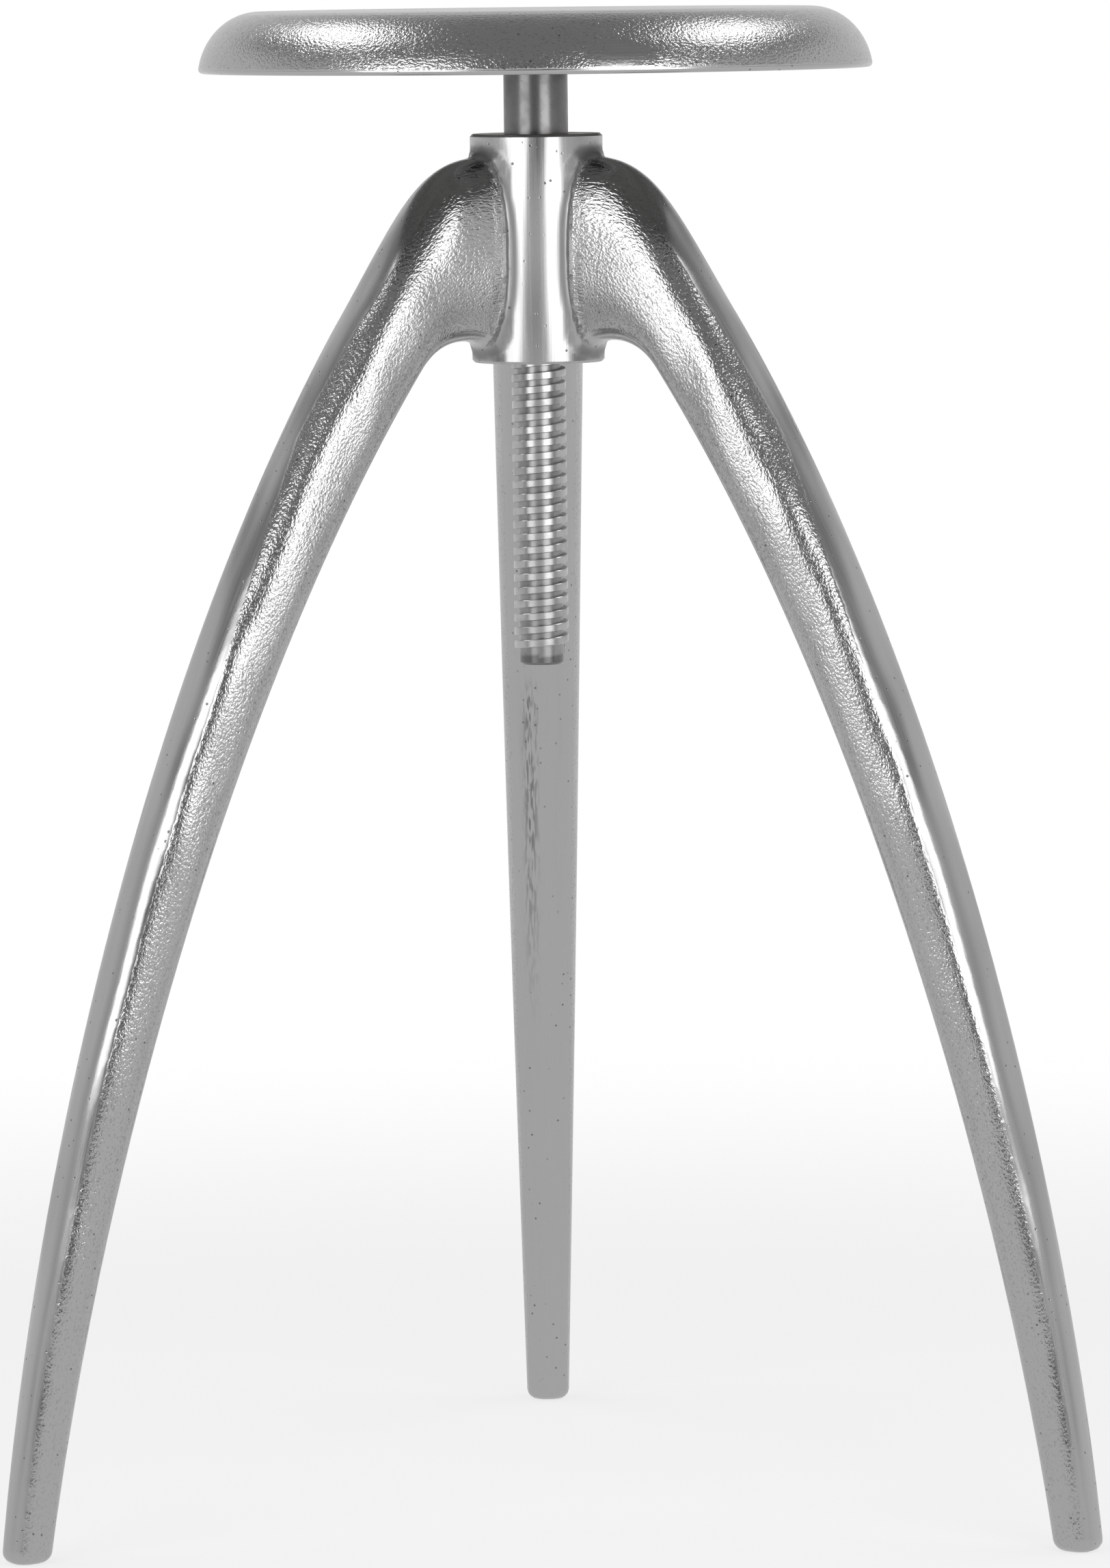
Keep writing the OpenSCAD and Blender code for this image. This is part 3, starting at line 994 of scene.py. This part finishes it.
        # The over-long ends are cut off later, so they stay as they are
        height = corners[:, 2] / MM - self.hub_z
        ends = (radius < (self.hub_r + 1.5) * MM) & ((height < -1) | (height > self.hub_h + 1))
        on_hub = corners.copy()
        on_hub[:, :2] = out / radius[:, None] * self.hub_r * MM + [0, self.axis_y]
        target = np.where((off_leg <= off_hub)[:, None], np.array([list(h[0]) for h in near]), on_hub)
        moved = corners + (target - corners) * (smooth(*self.pulled, seam) * ~ends)[:, None]
        moved[:, 2] = np.maximum(moved[:, 2], 0)
        move_corners(piece, moved)
        set_attribute(piece, "crease", 1 - smooth(*self.creased, seam))
        group = piece.vertex_groups.new(name="seam")
        weight = 1 - smooth(*self.softened, seam)
        for i in np.nonzero(weight > 0.01)[0]:
            group.add([int(i)], float(weight[i]), "REPLACE")
        soften = piece.modifiers.new("soften", "SMOOTH")
        soften.factor, soften.iterations, soften.vertex_group = 0.5, 2, "seam"
        apply_modifiers(piece)

    def cut_off(self, work: bmesh.types.BMesh, level: float, way: int) -> list[bmesh.types.BMEdge]:
        """Cuts the hub's over-long end off.

        Args:
            work: The casting's mesh, which changes.
            level: The height of the cut in millimetres.
            way: 1 to take off what is above it, and -1 what is below.

        Returns:
            The open loop that the cut leaves.
        """
        near, reach = set(), 1.3 * self.hub_r * MM
        for face in work.faces:
            x, y, z = face.calc_center_median()
            if way * (z - level * MM) > -self.spare * MM and math.hypot(x, y - self.axis_y) < reach:
                near.update([face, *face.edges, *face.verts])
        plane = {"plane_co": (0, 0, level * MM), "plane_no": (0, 0, way)}
        bmesh.ops.bisect_plane(work, geom=list(near), dist=1e-7, clear_outer=True, **plane)
        return [e for e in work.edges if e.is_boundary and abs(e.verts[0].co.z - level * MM) < 1e-6]

    def bridge(self, work: bmesh.types.BMesh, ring: list, loop: list[bmesh.types.BMEdge]) -> list:
        """Joins a turned ring to an open loop round the same axis, with one chamfer of triangles.

        Args:
            work: The casting's mesh, which changes.
            ring: The turned ring's corners.
            loop: The open loop's edges.

        Returns:
            The new faces.
        """

        def bearing(v: bmesh.types.BMVert) -> float:
            """How far round the axis a corner is."""
            return math.atan2(v.co.y - self.axis_y, v.co.x) % math.tau

        rows = [sorted(row, key=bearing) for row in ({v for e in loop for v in e.verts}, ring)]
        # The way to each next corner, with none beyond the last
        ways = [[bearing(v) for v in row[1:]] + [bearing(row[0]) + math.tau, math.inf] for row in rows]
        at, made = [0, 0], []
        while at[0] < len(rows[0]) or at[1] < len(rows[1]):
            one, two = (row[i % len(row)] for row, i in zip(rows, at))
            side = 0 if ways[0][at[0]] <= ways[1][at[1]] else 1
            at[side] += 1
            made.append(work.faces.new((one, two, rows[side][at[side] % len(rows[side])])))
        return made

    def machine(self, piece: Piece) -> None:
        """Faces the hub's ends and bores it, as a lathe does.

        Args:
            piece: The casting, which changes.
        """
        top, low, c = self.hub_z + self.hub_h, self.hub_z, self.chamfer
        outline = [
            (self.hub_r - c, top), (self.bore_r, top), (self.bore_r, low + self.lip_h),
            (self.lip_r, low + self.lip_h), (self.lip_r, low), (self.hub_r - c, low),
        ]
        work = bmesh.new()
        work.from_mesh(piece.data)
        open_ends = [self.cut_off(work, top - c, 1), self.cut_off(work, low + c, -1)]
        points = np.concatenate([circle(r, z, self.steps) for r, z in outline])
        corners = [work.verts.new(point) for point in swung(points, 0, self.axis_y)]
        made = [work.faces.new([corners[i] for i in face]) for face in quads(len(outline), self.steps)]
        made += self.bridge(work, corners[: self.steps], open_ends[0])
        made += self.bridge(work, corners[-self.steps :], open_ends[1])
        for face in made:
            face.material_index = 1
        bmesh.ops.recalc_face_normals(work, faces=work.faces)
        work.to_mesh(piece.data)
        work.free()
        for finish in (self.finish, self.cut_finish):
            piece.data.materials.append(finish.build())
        piece.data.shade_smooth()
        piece.data.set_sharp_from_angle(angle=math.radians(38))

    def mark(self, piece: Piece, scuffed: Vector) -> None:
        """Stores where the grain is left, which way the belt ran, and what has been scuffed.

        Args:
            piece: The tripod.
            scuffed: The top of the scuffed band down the back leg.
        """
        centres, ways = self.leg_rings()[1:]
        out = (corners_of(piece) - [0, self.axis_y, 0]) / MM
        bearing = np.degrees(np.arctan2(out[:, 1], out[:, 0]))
        leg = np.array([np.abs((bearing - a + 180) % 360 - 180) for a in self.angles]).argmin(0)
        turn = np.radians(np.array(self.angles))[leg]
        c, s = np.cos(turn), np.sin(turn)
        # Each corner and its normal, as for a leg along +X
        own, face = (
            np.stack([p[:, 0] * c + p[:, 1] * s, -p[:, 0] * s + p[:, 1] * c, p[:, 2]], 1)
            for p in (out, corners_of(piece, "normal"))
        )
        search = KDTree(len(centres))
        for i, centre in enumerate(centres):
            search.insert(Vector(centre), i)
        search.balance()
        nearest = np.array([search.find((x, 0, z))[1] for x, _, z in own])
        steps = np.linalg.norm(np.diff(centres, axis=0), axis=1)
        length = np.concatenate([[0], np.cumsum(steps)])[nearest]
        rel, way = own - centres[nearest], ways[nearest]
        down = (rel * way).sum(1) + length
        across = rel[:, 0] * -way[:, 2] + rel[:, 2] * way[:, 0]
        radius = np.hypot(out[:, 0], out[:, 1])
        barrel = 1 - smooth(self.hub_r + 0.4, self.hub_r + 3.0, radius)[:, None]
        run = np.stack([own[:, 1], across, down], 1) * (1 - barrel) + out * barrel
        set_attribute(piece, "run", run * MM)
        # The belt has been round the outer edge as far as the side, and less far round the inner one
        outer = face[:, 0] * -way[:, 2] + face[:, 2] * way[:, 0] > 0
        side = np.abs(face[:, 1])
        edge = np.interp(own[:, 2], *np.array(self.belt_edge).T)
        outside = smooth(-self.belt_soft, self.belt_soft, side - edge)
        flank = np.where(outer, outside, smooth(*self.belt_inner, side))
        # Round the hub, grain is left in the corners between the webs and the barrel
        corner = 1 - smooth(*self.corner_reach, radius - self.hub_r)
        corner *= 1 - smooth(0.35, 0.6, np.abs(face[:, 2]))
        bare = smooth(self.hub_r + 1.0, self.hub_r + 2.5, radius)
        kept = 1 - self.worn * smooth(*self.worn_length, length)
        set_attribute(piece, "pitted", np.maximum(flank, corner) * bare * kept)
        # A narrow band down the back leg is scuffed, from just under the screw
        x, _, z = (np.array(scuffed) - [0, self.axis_y, 0]) / MM
        beside = smooth(*self.scuff_half, np.abs(out[:, 0] - x))
        below = smooth(*self.scuff_start, out[:, 2] - z) * smooth(*self.scuff_end, out[:, 2] - z)
        set_attribute(piece, "scuffed", beside * below * (face[:, 0] < 0) * (leg == 2))

    def build(self, camera: Viewpoint, limits: tuple[Vector, Vector]) -> Piece:
        """Casts and machines the tripod.

        Args:
            camera: The camera, by which the scuffed place is found.
            limits: The CAD's lowest and highest corner, which the casting stays between.

        Returns:
            The piece.
        """
        piece, legs = self.blank()
        self.fuse(piece, legs)
        self.machine(piece)
        move_corners(piece, np.clip(corners_of(piece), *(list(limit) for limit in limits)))
        self.mark(piece, camera.place_on("scuffed_leg", piece))
        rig.ride(piece, Body.BASE.value)
        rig.replaces(piece, "hub", "leg_left", "leg_right", "leg_back")
        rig.slot(piece, Slot.TRIPOD.value)
        log.info("tripod casting: %d corners", len(piece.data.vertices))
        return piece


# ---- The seat ----


@dataclass
class Seat:
    """The round casting: a flat top, a full round rim, and a hollow underside with a pad."""

    finish: PolishedCasting
    under_finish: SandCasting
    pad_finish: TurnedMetal
    axis_y: float
    radius: float = 157.21
    low: float = 676.5
    height: float = 28.5
    # The rim's round is an elliptical arc, and its widest level would lie below the lip
    rim: Pair = (29.0, 31.8)
    edge: float = 2.0
    wall: float = 6.0
    pad_r: float = 50.0
    pad_h: float = 6.0
    pad_fillet: float = 5.0
    pad_chamfer: float = 0.8
    # Angles up the rim's round over which the grain starts and ends, and how far down it goes
    grain_start: Pair = (9.0, 12.0)
    grain_end: Pair = (66.0, 80.0)
    grain_drop: float = 27.0
    # Half the width and height of the place rubbed smooth
    rubbed: Pair = (20.0, 8.0)

    def outline(self) -> tuple[list[Pair], list[int]]:
        """The seat's outline, from the middle of its top round to the middle of its pad.

        Returns:
            The corners in millimetres, and the material of the edge from each to the next.
        """
        top = self.low + self.height
        across, up = self.rim
        # Where the rim's arc ends and the lip's small one starts, the two have the same slope
        start = math.asin((self.low + 1.15 * self.edge - (top - up)) / up)
        slope = math.atan2(across * math.sin(start), up * math.cos(start))
        flat_r = self.radius - across * math.cos(start)
        shape = [(r, top) for r in np.linspace(0, flat_r, 18)[:-1]]
        turns = np.linspace(math.pi / 2, start, 44)
        shape += [(flat_r + across * math.cos(t), top - up + up * math.sin(t)) for t in turns]
        lip = (self.radius - self.edge * math.cos(slope), self.low + self.edge)
        shape += list(reversed(arc(lip, self.edge, -90, math.degrees(slope) - 8, 8)))
        outside = len(shape)
        inner = self.height - self.wall - 1
        shape += [(flat_r + inner, self.low)]
        shape += arc((flat_r, self.low + 1), inner, 0, 90, 24)
        under = top - self.wall
        shape += [(r, under) for r in np.linspace(flat_r, self.pad_r + self.pad_fillet, 10)[1:-1]]
        fillet = (self.pad_r + self.pad_fillet, under - self.pad_fillet)
        shape += arc(fillet, self.pad_fillet, 90, 180, 8)
        face = under - self.pad_h
        shape += [(self.pad_r, face + self.pad_chamfer)]
        inside = len(shape)
        shape += [(self.pad_r - self.pad_chamfer, face), (20, face), (0, face)]
        kinds = [0 if i < outside else 1 if i < inside else 2 for i in range(len(shape))]
        return shape, kinds

    def mark(self, piece: Piece, rubbed: Vector) -> None:
        """Stores where the rim's grain is left, and the way round that the mop ran.

        Args:
            piece: The seat.
            rubbed: The middle of the place on the rim that has been rubbed smooth.
        """
        corners = corners_of(piece)
        out = (corners - [0, self.axis_y, 0]) / MM
        radius = np.hypot(out[:, 0], out[:, 1])
        drop = self.low + self.height - out[:, 2]
        across, up = self.rim
        rim_angle = np.degrees(np.arctan2((up - drop) / up, (radius - (self.radius - across)) / across))
        around = np.abs(np.arctan2(out[:, 1], out[:, 0])) * self.radius
        set_attribute(piece, "run", np.stack([radius, out[:, 2], around], 1) * MM)
        pitted = smooth(*self.grain_start, rim_angle) * (1 - smooth(*self.grain_end, rim_angle))
        pitted *= drop < self.grain_drop
        reach = (corners - np.array(rubbed)) / MM
        spot = np.hypot(reach[:, 0] / self.rubbed[0], reach[:, 2] / self.rubbed[1])
        set_attribute(piece, "pitted", pitted * (0.4 + 0.6 * smooth(0.6, 1.2, spot)))

    def build(self, camera: Viewpoint) -> Piece:
        """Casts and polishes the seat.

        Args:
            camera: The camera, by which the rubbed place is found.

        Returns:
            The piece.
        """
        shape, kinds = self.outline()
        finishes = [f.build() for f in (self.finish, self.under_finish, self.pad_finish)]
        piece = turned("seat_casting", shape, self.axis_y, 360, finishes, kinds, crease=50)
        self.mark(piece, camera.place_on("rubbed_rim", piece))
        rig.ride(piece, Body.SEAT.value)
        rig.replaces(piece, "seat")
        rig.slot(piece, Slot.SEAT.value)
        log.info("seat casting: %d corners", len(piece.data.vertices))
        return piece


# ---- The screw ----


@dataclass
class Screw:
    """The spindle: a plain shank above a square thread that ends in a short stub."""

    finish: TurnedMetal
    axis_y: float
    thread_r: float = 12.7
    depth: float = 2.4
    pitch: float = 6.25
    thread_z: float = 403.0
    turns: int = 35
    stub_l: float = 4.5
    stub_chamfer: float = 1.0
    shank_r: float = 15.0
    shank_z: float = 628.5
    flange_z: float = 685.0
    spigot_r: float = 12.0
    flange_t: float = 8.0
    chamfer: float = 0.5
    # The ridge as photographed is a little wider than its groove
    ridge: float = 3.5
    crest_bevel: float = 0.3
    # How many steps a turn has, and over how many the thread fades at each end
    steps: int = 72
    fade: int = 6

    def thread(self) -> tuple[np.ndarray, Faces]:
        """The thread as one long strip that winds up round the axis.

        Returns:
            Its corners in millimetres, and its faces.
        """
        b, w, p = self.crest_bevel, self.ridge, self.pitch
        # Up one pitch of the section: height above the ridge's lower root, share of the depth
        section = np.array([
            (0, 0), (0, 1 - b / self.depth), (b, 1), (w / 2, 1), (w - b, 1),
            (w, 1 - b / self.depth), (w, 0), (w + (p - w) / 2, 0), (p, 0),
        ])
        last = self.turns * self.steps
        # Two more turns at each end, which the shank and the stub then cut short
        rows = np.arange(-2 * self.steps, last + 2 * self.steps + 1.0)
        ends = smooth(0, self.fade, rows) * (1 - smooth(last - self.fade, last, rows))
        start = self.thread_z + (p / 2 - w) / 2
        z = start + rows[:, None] * p / self.steps + section[:, 0]
        z = np.clip(z, self.thread_z - self.stub_l + self.stub_chamfer, self.shank_z + self.chamfer)
        r = self.thread_r - self.depth * (1 - section[:, 1] * ends[:, None])
        angle = rows[:, None] * 2 * math.pi / self.steps
        points = np.stack([r * np.cos(angle), r * np.sin(angle), z], 2)
        return points.reshape(-1, 3), quads(len(rows), len(section), closed=False)

    def build(self) -> Piece:
        """Turns the screw and cuts its thread.

        Returns:
            The piece.
        """
        material = [self.finish.build()]
        points, faces = self.thread()
        piece = new_piece("screw_spindle", points * MM + [0, self.axis_y, 0], faces, material)
        root, c, d = self.thread_r - self.depth, self.stub_chamfer, self.chamfer
        low, top = self.thread_z - self.stub_l, self.flange_z + self.flange_t
        stub = [(0, low), (root - c, low), (root, low + c)]
        shank = [
            (root, self.shank_z + d), (self.shank_r - d, self.shank_z), (self.shank_r, self.shank_z + d),
            (self.shank_r, self.flange_z), (self.spigot_r, self.flange_z), (self.spigot_r, top - d),
            (self.spigot_r - d, top), (0, top),
        ]
        joined = bmesh.new()
        joined.from_mesh(piece.data)
        for name, outline in (("stub", stub), ("shank", shank)):
            part = turned(name, outline, self.axis_y, self.steps, material)
            joined.from_mesh(part.data)
            bpy.data.objects.remove(part)
        bmesh.ops.remove_doubles(joined, verts=joined.verts, dist=4e-6)
        bmesh.ops.dissolve_degenerate(joined, edges=joined.edges, dist=1e-6)
        joined.to_mesh(piece.data)
        joined.free()
        piece.data.shade_smooth()
        piece.data.set_sharp_from_angle(angle=math.radians(30))
        x, y, z = corners_of(piece).T / MM
        in_thread = (z > self.thread_z - 0.1) & (z < self.shank_z)
        groove = np.clip((self.thread_r - np.hypot(x, y - self.axis_y / MM)) / self.depth, 0, 1)
        set_attribute(piece, "groove", groove * in_thread)
        set_attribute(piece, "burnished", (1 - 0.35 * groove) * in_thread)
        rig.ride(piece, Body.SEAT.value)
        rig.replaces(piece, "spindle")
        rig.slot(piece, Slot.STEEL.value)
        log.info("screw: %d corners", len(piece.data.vertices))
        return piece


# ---- The fittings ----


@dataclass
class Fittings:
    """What joins the seat to the screw and guides it: flange, screws, washers, nut, bush, buffer."""

    steel: TurnedMetal
    plated: PlatedSteel
    bronze: TurnedMetal
    rubber: MouldedRubber
    axis_y: float
    screws: int = 4
    circle_r: float = 35.0
    head_r: float = 5.76
    head_h: float = 4.0
    head_z: float = 679.4
    shaft_r: float = 3.0
    shaft_top: float = 699.4
    shaft_chamfer: float = 0.6
    # The buffer's inner and outer radius, and its foot and top
    buffer: tuple[float, float, float, float] = (15.3, 24.0, 678.0, 684.7)
    buffer_round: float = 1.2
    steps: int = 72

    def hex_head(self) -> np.ndarray:
        """One hexagon screw with its chamfered head downwards, on the axis of X and Y.

        Returns:
            Its rings of corners, in millimetres, from the head's middle to the shaft's end.
        """
        angle = np.arange(self.steps) * 2 * math.pi / self.steps
        flat = self.head_r * math.cos(math.pi / 6)
        hexagon = flat / np.cos(angle % (math.pi / 3) - math.pi / 6)
        cone = 0.95 * flat
        slant = (hexagon - cone) * math.tan(math.radians(30))
        low, top, end = self.head_z, self.head_z + self.head_h, self.shaft_top
        rings = (
            (0, low), (cone, low), (hexagon, low + slant), (hexagon, top), (self.shaft_r, top),
            (self.shaft_r, end - self.shaft_chamfer), (self.shaft_r - self.shaft_chamfer, end), (0, end),
        )
        return np.array([circle(r, z, self.steps) for r, z in rings])

    def build_screws(self) -> None:
        """Makes the hexagon screws through the flange, each with a corner of its head outwards."""
        head = self.hex_head() + [self.circle_r, 0, 0]
        points, faces = [], []
        for i in range(self.screws):
            points.append(swung(head, (i + 0.5) * 360 / self.screws, self.axis_y))
            shift = i * len(points[0])
            faces += [tuple(v + shift for v in face) for face in quads(len(head), self.steps)]
        material = [self.plated.build()]
        piece = new_piece("hexagon_screws", np.concatenate(points), faces, material, crease=25)
        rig.ride(piece, Body.SEAT.value)
        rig.replaces(piece, "flange_screws")
        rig.slot(piece, Slot.PLATED.value)
        log.info("hexagon screws: %d", self.screws)

    def build_buffer(self) -> None:
        """Moulds the rubber ring that softens the lowest stop."""
        inner, outer, low, top = self.buffer
        r, h = self.buffer_round, self.buffer_round / 2
        outline = arc((outer - r, low + r), r, -90, 0, 6) + arc((outer - r, top - r), r, 0, 90, 6)
        outline += arc((inner + h, top - h), h, 90, 180, 4) + arc((inner + h, low + h), h, 180, 270, 4)
        piece = turned("rubber_buffer", outline, self.axis_y, 96, [self.rubber.build()])
        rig.ride(piece, Body.LIFT.value)
        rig.replaces(piece, "buffer_ring")
        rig.slot(piece, Slot.RUBBER.value)
        log.info("rubber buffer")

    def build(self) -> None:
        """Makes the screws and the buffer, and finishes the parts whose own CAD meshes show."""
        self.build_screws()
        self.build_buffer()
        rows = {
            "seat_flange": self.steel,
            "flange_washers": self.plated,
            "thread_nut": self.bronze,
            "guide_bush": self.bronze,
        }
        for name, finish in rows.items():
            node = frame["nodes"][name]
            node.data.materials.clear()
            node.data.materials.append(finish.build())
            log.info("%s: dressed", name)


# ---- The studio ----


@dataclass(frozen=True)
class Softbox:
    """A square soft lamp, aimed at a height on the stool's axis and unseen by the camera itself.

    Its bearing is from the camera's side of the stool, positive to the camera's right. Its distance,
    aim and size are in metres.
    """

    name: str
    bearing: float
    elevation: float
    distance: float
    aim: float
    size: Pair
    radiance: float

    def build(self, axis_y: float) -> None:
        """Hangs the lamp.

        Args:
            axis_y: The stool's axis's y, in metres.
        """
        a, e = math.radians(self.bearing), math.radians(self.elevation)
        back = Vector((math.sin(a) * math.cos(e), -math.cos(a) * math.cos(e), math.sin(e)))
        data = bpy.data.lights.new(self.name, "AREA")
        data.shape = "RECTANGLE"
        data.size, data.size_y = self.size
        data.energy = self.radiance * self.size[0] * self.size[1] * 4
        lamp = bpy.data.objects.new(self.name, data)
        place = Matrix.Translation(Vector((0, axis_y, self.aim)) + back * self.distance)
        lamp.matrix_world = place @ back.to_track_quat("Z", "Y").to_matrix().to_4x4()
        lamp.visible_camera = False
        bpy.context.scene.collection.objects.link(lamp)


@dataclass
class Studio:
    """A pale paper floor and a soft, plain light: pale walls low down and a darker ceiling.

    Tones go by how far a direction points from behind the stool, 0, to the camera's side of it, 1.
    """

    paper: PaperFloor
    floor: tuple[float, float, float] = (14.0, 2.4, 0.6)
    walls: tuple[Pair, ...] = (
        (0.0, 0.78), (0.15, 0.72), (0.28, 0.76), (0.45, 0.64), (0.55, 0.56), (0.75, 0.70), (0.9, 0.55),
        (0.97, 0.2), (1.0, 0.14),
    )
    ceiling: tuple[Pair, ...] = (
        (0.0, 0.64), (0.12, 0.60), (0.2, 0.32), (0.4, 0.28), (0.6, 0.27), (1.0, 0.27),
    )
    # Heights, as sines of the elevation, between which the wall gives way to the ceiling
    wall_top: Pair = (0.33, 0.50)
    lamps: tuple[Softbox, ...] = (
        Softbox("front_left", -41, 0, 1.15, 0.75, (0.70, 0.64), 2.0),
        Softbox("front_right", 32, 0, 1.15, 0.715, (0.68, 0.71), 2.0),
        Softbox("over_left", -106, 50.5, 1.6, 0.69, (1.2, 0.52), 2.4),
        Softbox("over_right", 102, 50.5, 1.6, 0.69, (1.15, 0.52), 2.4),
    )

    def build_world(self) -> None:
        """Paints the studio's walls and ceiling, with white where the camera sees the background."""
        world = bpy.data.worlds.new("Studio")
        bpy.context.scene.world = world
        world.use_nodes = True
        tree = world.node_tree
        node = partial(add_node, tree)
        way = node("TexCoord", out="Generated")
        parts = node("SeparateXYZ", {0: way}).node.outputs
        front = node("Math", {0: parts[1], 1: -0.5, 2: 0.5}, operation="MULTIPLY_ADD")
        tones = []
        for stops in (self.walls, self.ceiling):
            ramp = node("ValToRGB", {0: front})
            elements = ramp.node.color_ramp.elements
            for i, (at, tone) in enumerate(stops):
                stop = elements[i] if i < 2 else elements.new(at)
                stop.position = at
                stop.color = (tone, tone, tone, 1.0)
            tones.append(ramp)
        inputs = {"Value": parts[2], "From Min": self.wall_top[0], "From Max": self.wall_top[1]}
        above = node("MapRange", inputs, interpolation_type="SMOOTHSTEP")
        tone = node("Mix", {0: above, 2: tones[0], 3: tones[1]})
        # What the camera sees is white
        camera_ray = node("LightPath", out="Is Camera Ray")
        level = node("Mix", {0: camera_ray, 2: tone, 3: 1.0})
        tree.links.new(level, tree.nodes["Background"].inputs["Strength"])
        tree.nodes["Background"].inputs["Color"].default_value = WHITE

    def build(self, axis_y: float) -> None:
        """Lays the floor and hangs the lamps.

        Args:
            axis_y: The stool's axis's y, in metres.
        """
        steps, rings = 96, len(self.floor)
        middle = tuple(range((rings - 1) * steps, rings * steps))
        mesh = bpy.data.meshes.new("floor")
        points = np.concatenate([circle(r, 0, steps) for r in self.floor])
        mesh.from_pydata(points.tolist(), [], quads(rings, steps) + [middle])
        mesh.materials.append(self.paper.build())
        floor = new_object("floor", mesh)
        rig.stage(floor)
        self.build_world()
        for lamp in self.lamps:
            lamp.build(axis_y)
        log.info("studio: floor and %d softboxes", len(self.lamps))


# ---- What shows where ----


@dataclass
class Survey:
    """Compares where things show with where the photograph has them."""

    camera: Viewpoint
    casting: Tripod
    tripod: Piece
    seat: Piece
    screw: Piece

    def measure(self) -> dict[str, np.ndarray]:
        """Finds where each named thing shows in the frame.

        Returns:
            For each point's name, the x and y.
        """

        def far(points: np.ndarray, way: Pair) -> np.ndarray:
            """The point that is furthest that way."""
            return points[(points @ way).argmax()]

        base, rod = corners_of(self.tripod), corners_of(self.screw)
        on_base, on_seat, on_rod = (self.camera.seen(p) for p in (base, corners_of(self.seat), rod))
        every = np.concatenate([on_base, on_seat, on_rod])
        found = {name: far(every, way) for name, way in zip(POINTS, (LEFT, RIGHT, UP, DOWN))}
        found |= {"seat_left": far(on_seat, LEFT), "seat_right": far(on_seat, RIGHT)}
        middle = POINTS["seat_front_low"][0]
        low = far(on_seat[np.abs(on_seat[:, 0] - middle) < 6], DOWN)
        found["seat_front_low"] = (middle, low[1])
        # The barrel's corner with each end, before its chamfer
        cast = self.casting
        edge = np.abs(np.hypot(base[:, 0], base[:, 1] - cast.axis_y) / MM - cast.hub_r + 0.25) < 0.75
        for name, z in (("hub_top", cast.hub_z + cast.hub_h), ("hub_low", cast.hub_z)):
            corner = base[edge & (np.abs(base[:, 2] / MM - z) < cast.chamfer + 0.2)]
            corner[:, 2] = z * MM
            for side, way in (("_left", LEFT), ("_right", RIGHT)):
                found[name + side] = far(self.camera.seen(corner), way)
        tip = on_rod[rod[:, 2] < rod[:, 2].min() + 1.2 * MM]
        found["stub_tip"] = ((far(tip, LEFT)[0] + far(tip, RIGHT)[0]) / 2, far(tip, DOWN)[1])
        band = on_base[np.abs(on_base[:, 1] - POINTS["shoulder_left"][1]) < 1.5]
        for name, way in (("shoulder_left", LEFT), ("shoulder_right", RIGHT)):
            found[name] = (far(band, way)[0], POINTS[name][1])
        for name, way in (("foot_left", (-1, 0, 0)), ("foot_right", (1, 0, 0)), ("foot_back", (0, 1, 0))):
            found[name] = far(on_base[(base[:, 2] < 30 * MM) & (base @ way > 0.1)], DOWN)
        for name, piece in (("rubbed_rim", self.seat), ("scuffed_leg", self.tripod)):
            found[name] = self.camera.seen(np.array([self.camera.place_on(name, piece)]))[0]
        return found

    def write(self, path: str) -> None:
        """Writes how far each thing shows from its point.

        Args:
            path: The file.
        """
        found = self.measure()
        rows = {}
        for name, (x, y) in POINTS.items():
            rows[name] = {
                "dx": None if x is None else round(float(found[name][0]) - x, 1),
                "dy": None if y is None else round(float(found[name][1]) - y, 1),
            }
        with open(path, "w") as file:
            json.dump(rows, file, indent=1)
        log.info("points: %s", rows)


def main() -> None:
    """Builds the stool, the studio and the camera, in that order."""
    logging.basicConfig(level=logging.INFO, format="%(name)s %(message)s")
    cad_low, cad_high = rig.bounds()
    spindle_low, spindle_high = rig.box("spindle")
    axis_y = (spindle_low.y + spindle_high.y) / 2
    bpy.context.scene.view_settings.view_transform = "Standard"

    camera = Viewpoint()
    camera.build()

    casting = Tripod(
        PolishedCasting("mopped_cast_aluminium", "#B4B4B4", 0.25, hollow_depth=5.0),
        TurnedMetal("faced_aluminium", "#B2B2B2", 0.32, axis_y=axis_y),
        axis_y,
    )
    tripod = casting.build(camera, (cad_low, cad_high))
    seat = Seat(
        PolishedCasting("polished_cast_aluminium_seat", "#B6B6B6", 0.20),
        SandCasting("sand_cast_aluminium", "#8E8E8C", 0.55),
        TurnedMetal("faced_aluminium_pad", "#B2B2B2", 0.32, axis_y=axis_y),
        axis_y,
    ).build(camera)
    screw = Screw(TurnedMetal("turned_mild_steel", "#7A7A7A", 0.26, axis_y=axis_y), axis_y).build()
    Fittings(
        TurnedMetal("machined_steel_flange", "#8A8A8A", 0.34, axis_y=axis_y),
        PlatedSteel("zinc_plated_steel", "#BFC0BE", 0.28),
        TurnedMetal("gunmetal_bronze", "#A07A4A", 0.30, axis_y=axis_y),
        MouldedRubber("moulded_rubber", "#1E1E1E", 0.62),
        axis_y,
    ).build()
    Studio(PaperFloor("white_paper", "#F2F2F2", 0.9)).build(axis_y)

    Survey(camera, casting, tripod, seat, screw).write("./points.json")
    low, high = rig.bounds()
    with open("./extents.json", "w") as file:
        json.dump({"cad": [list(cad_low), list(cad_high)], "visual": [list(low), list(high)]}, file)


if __name__ == "__main__":
    main()
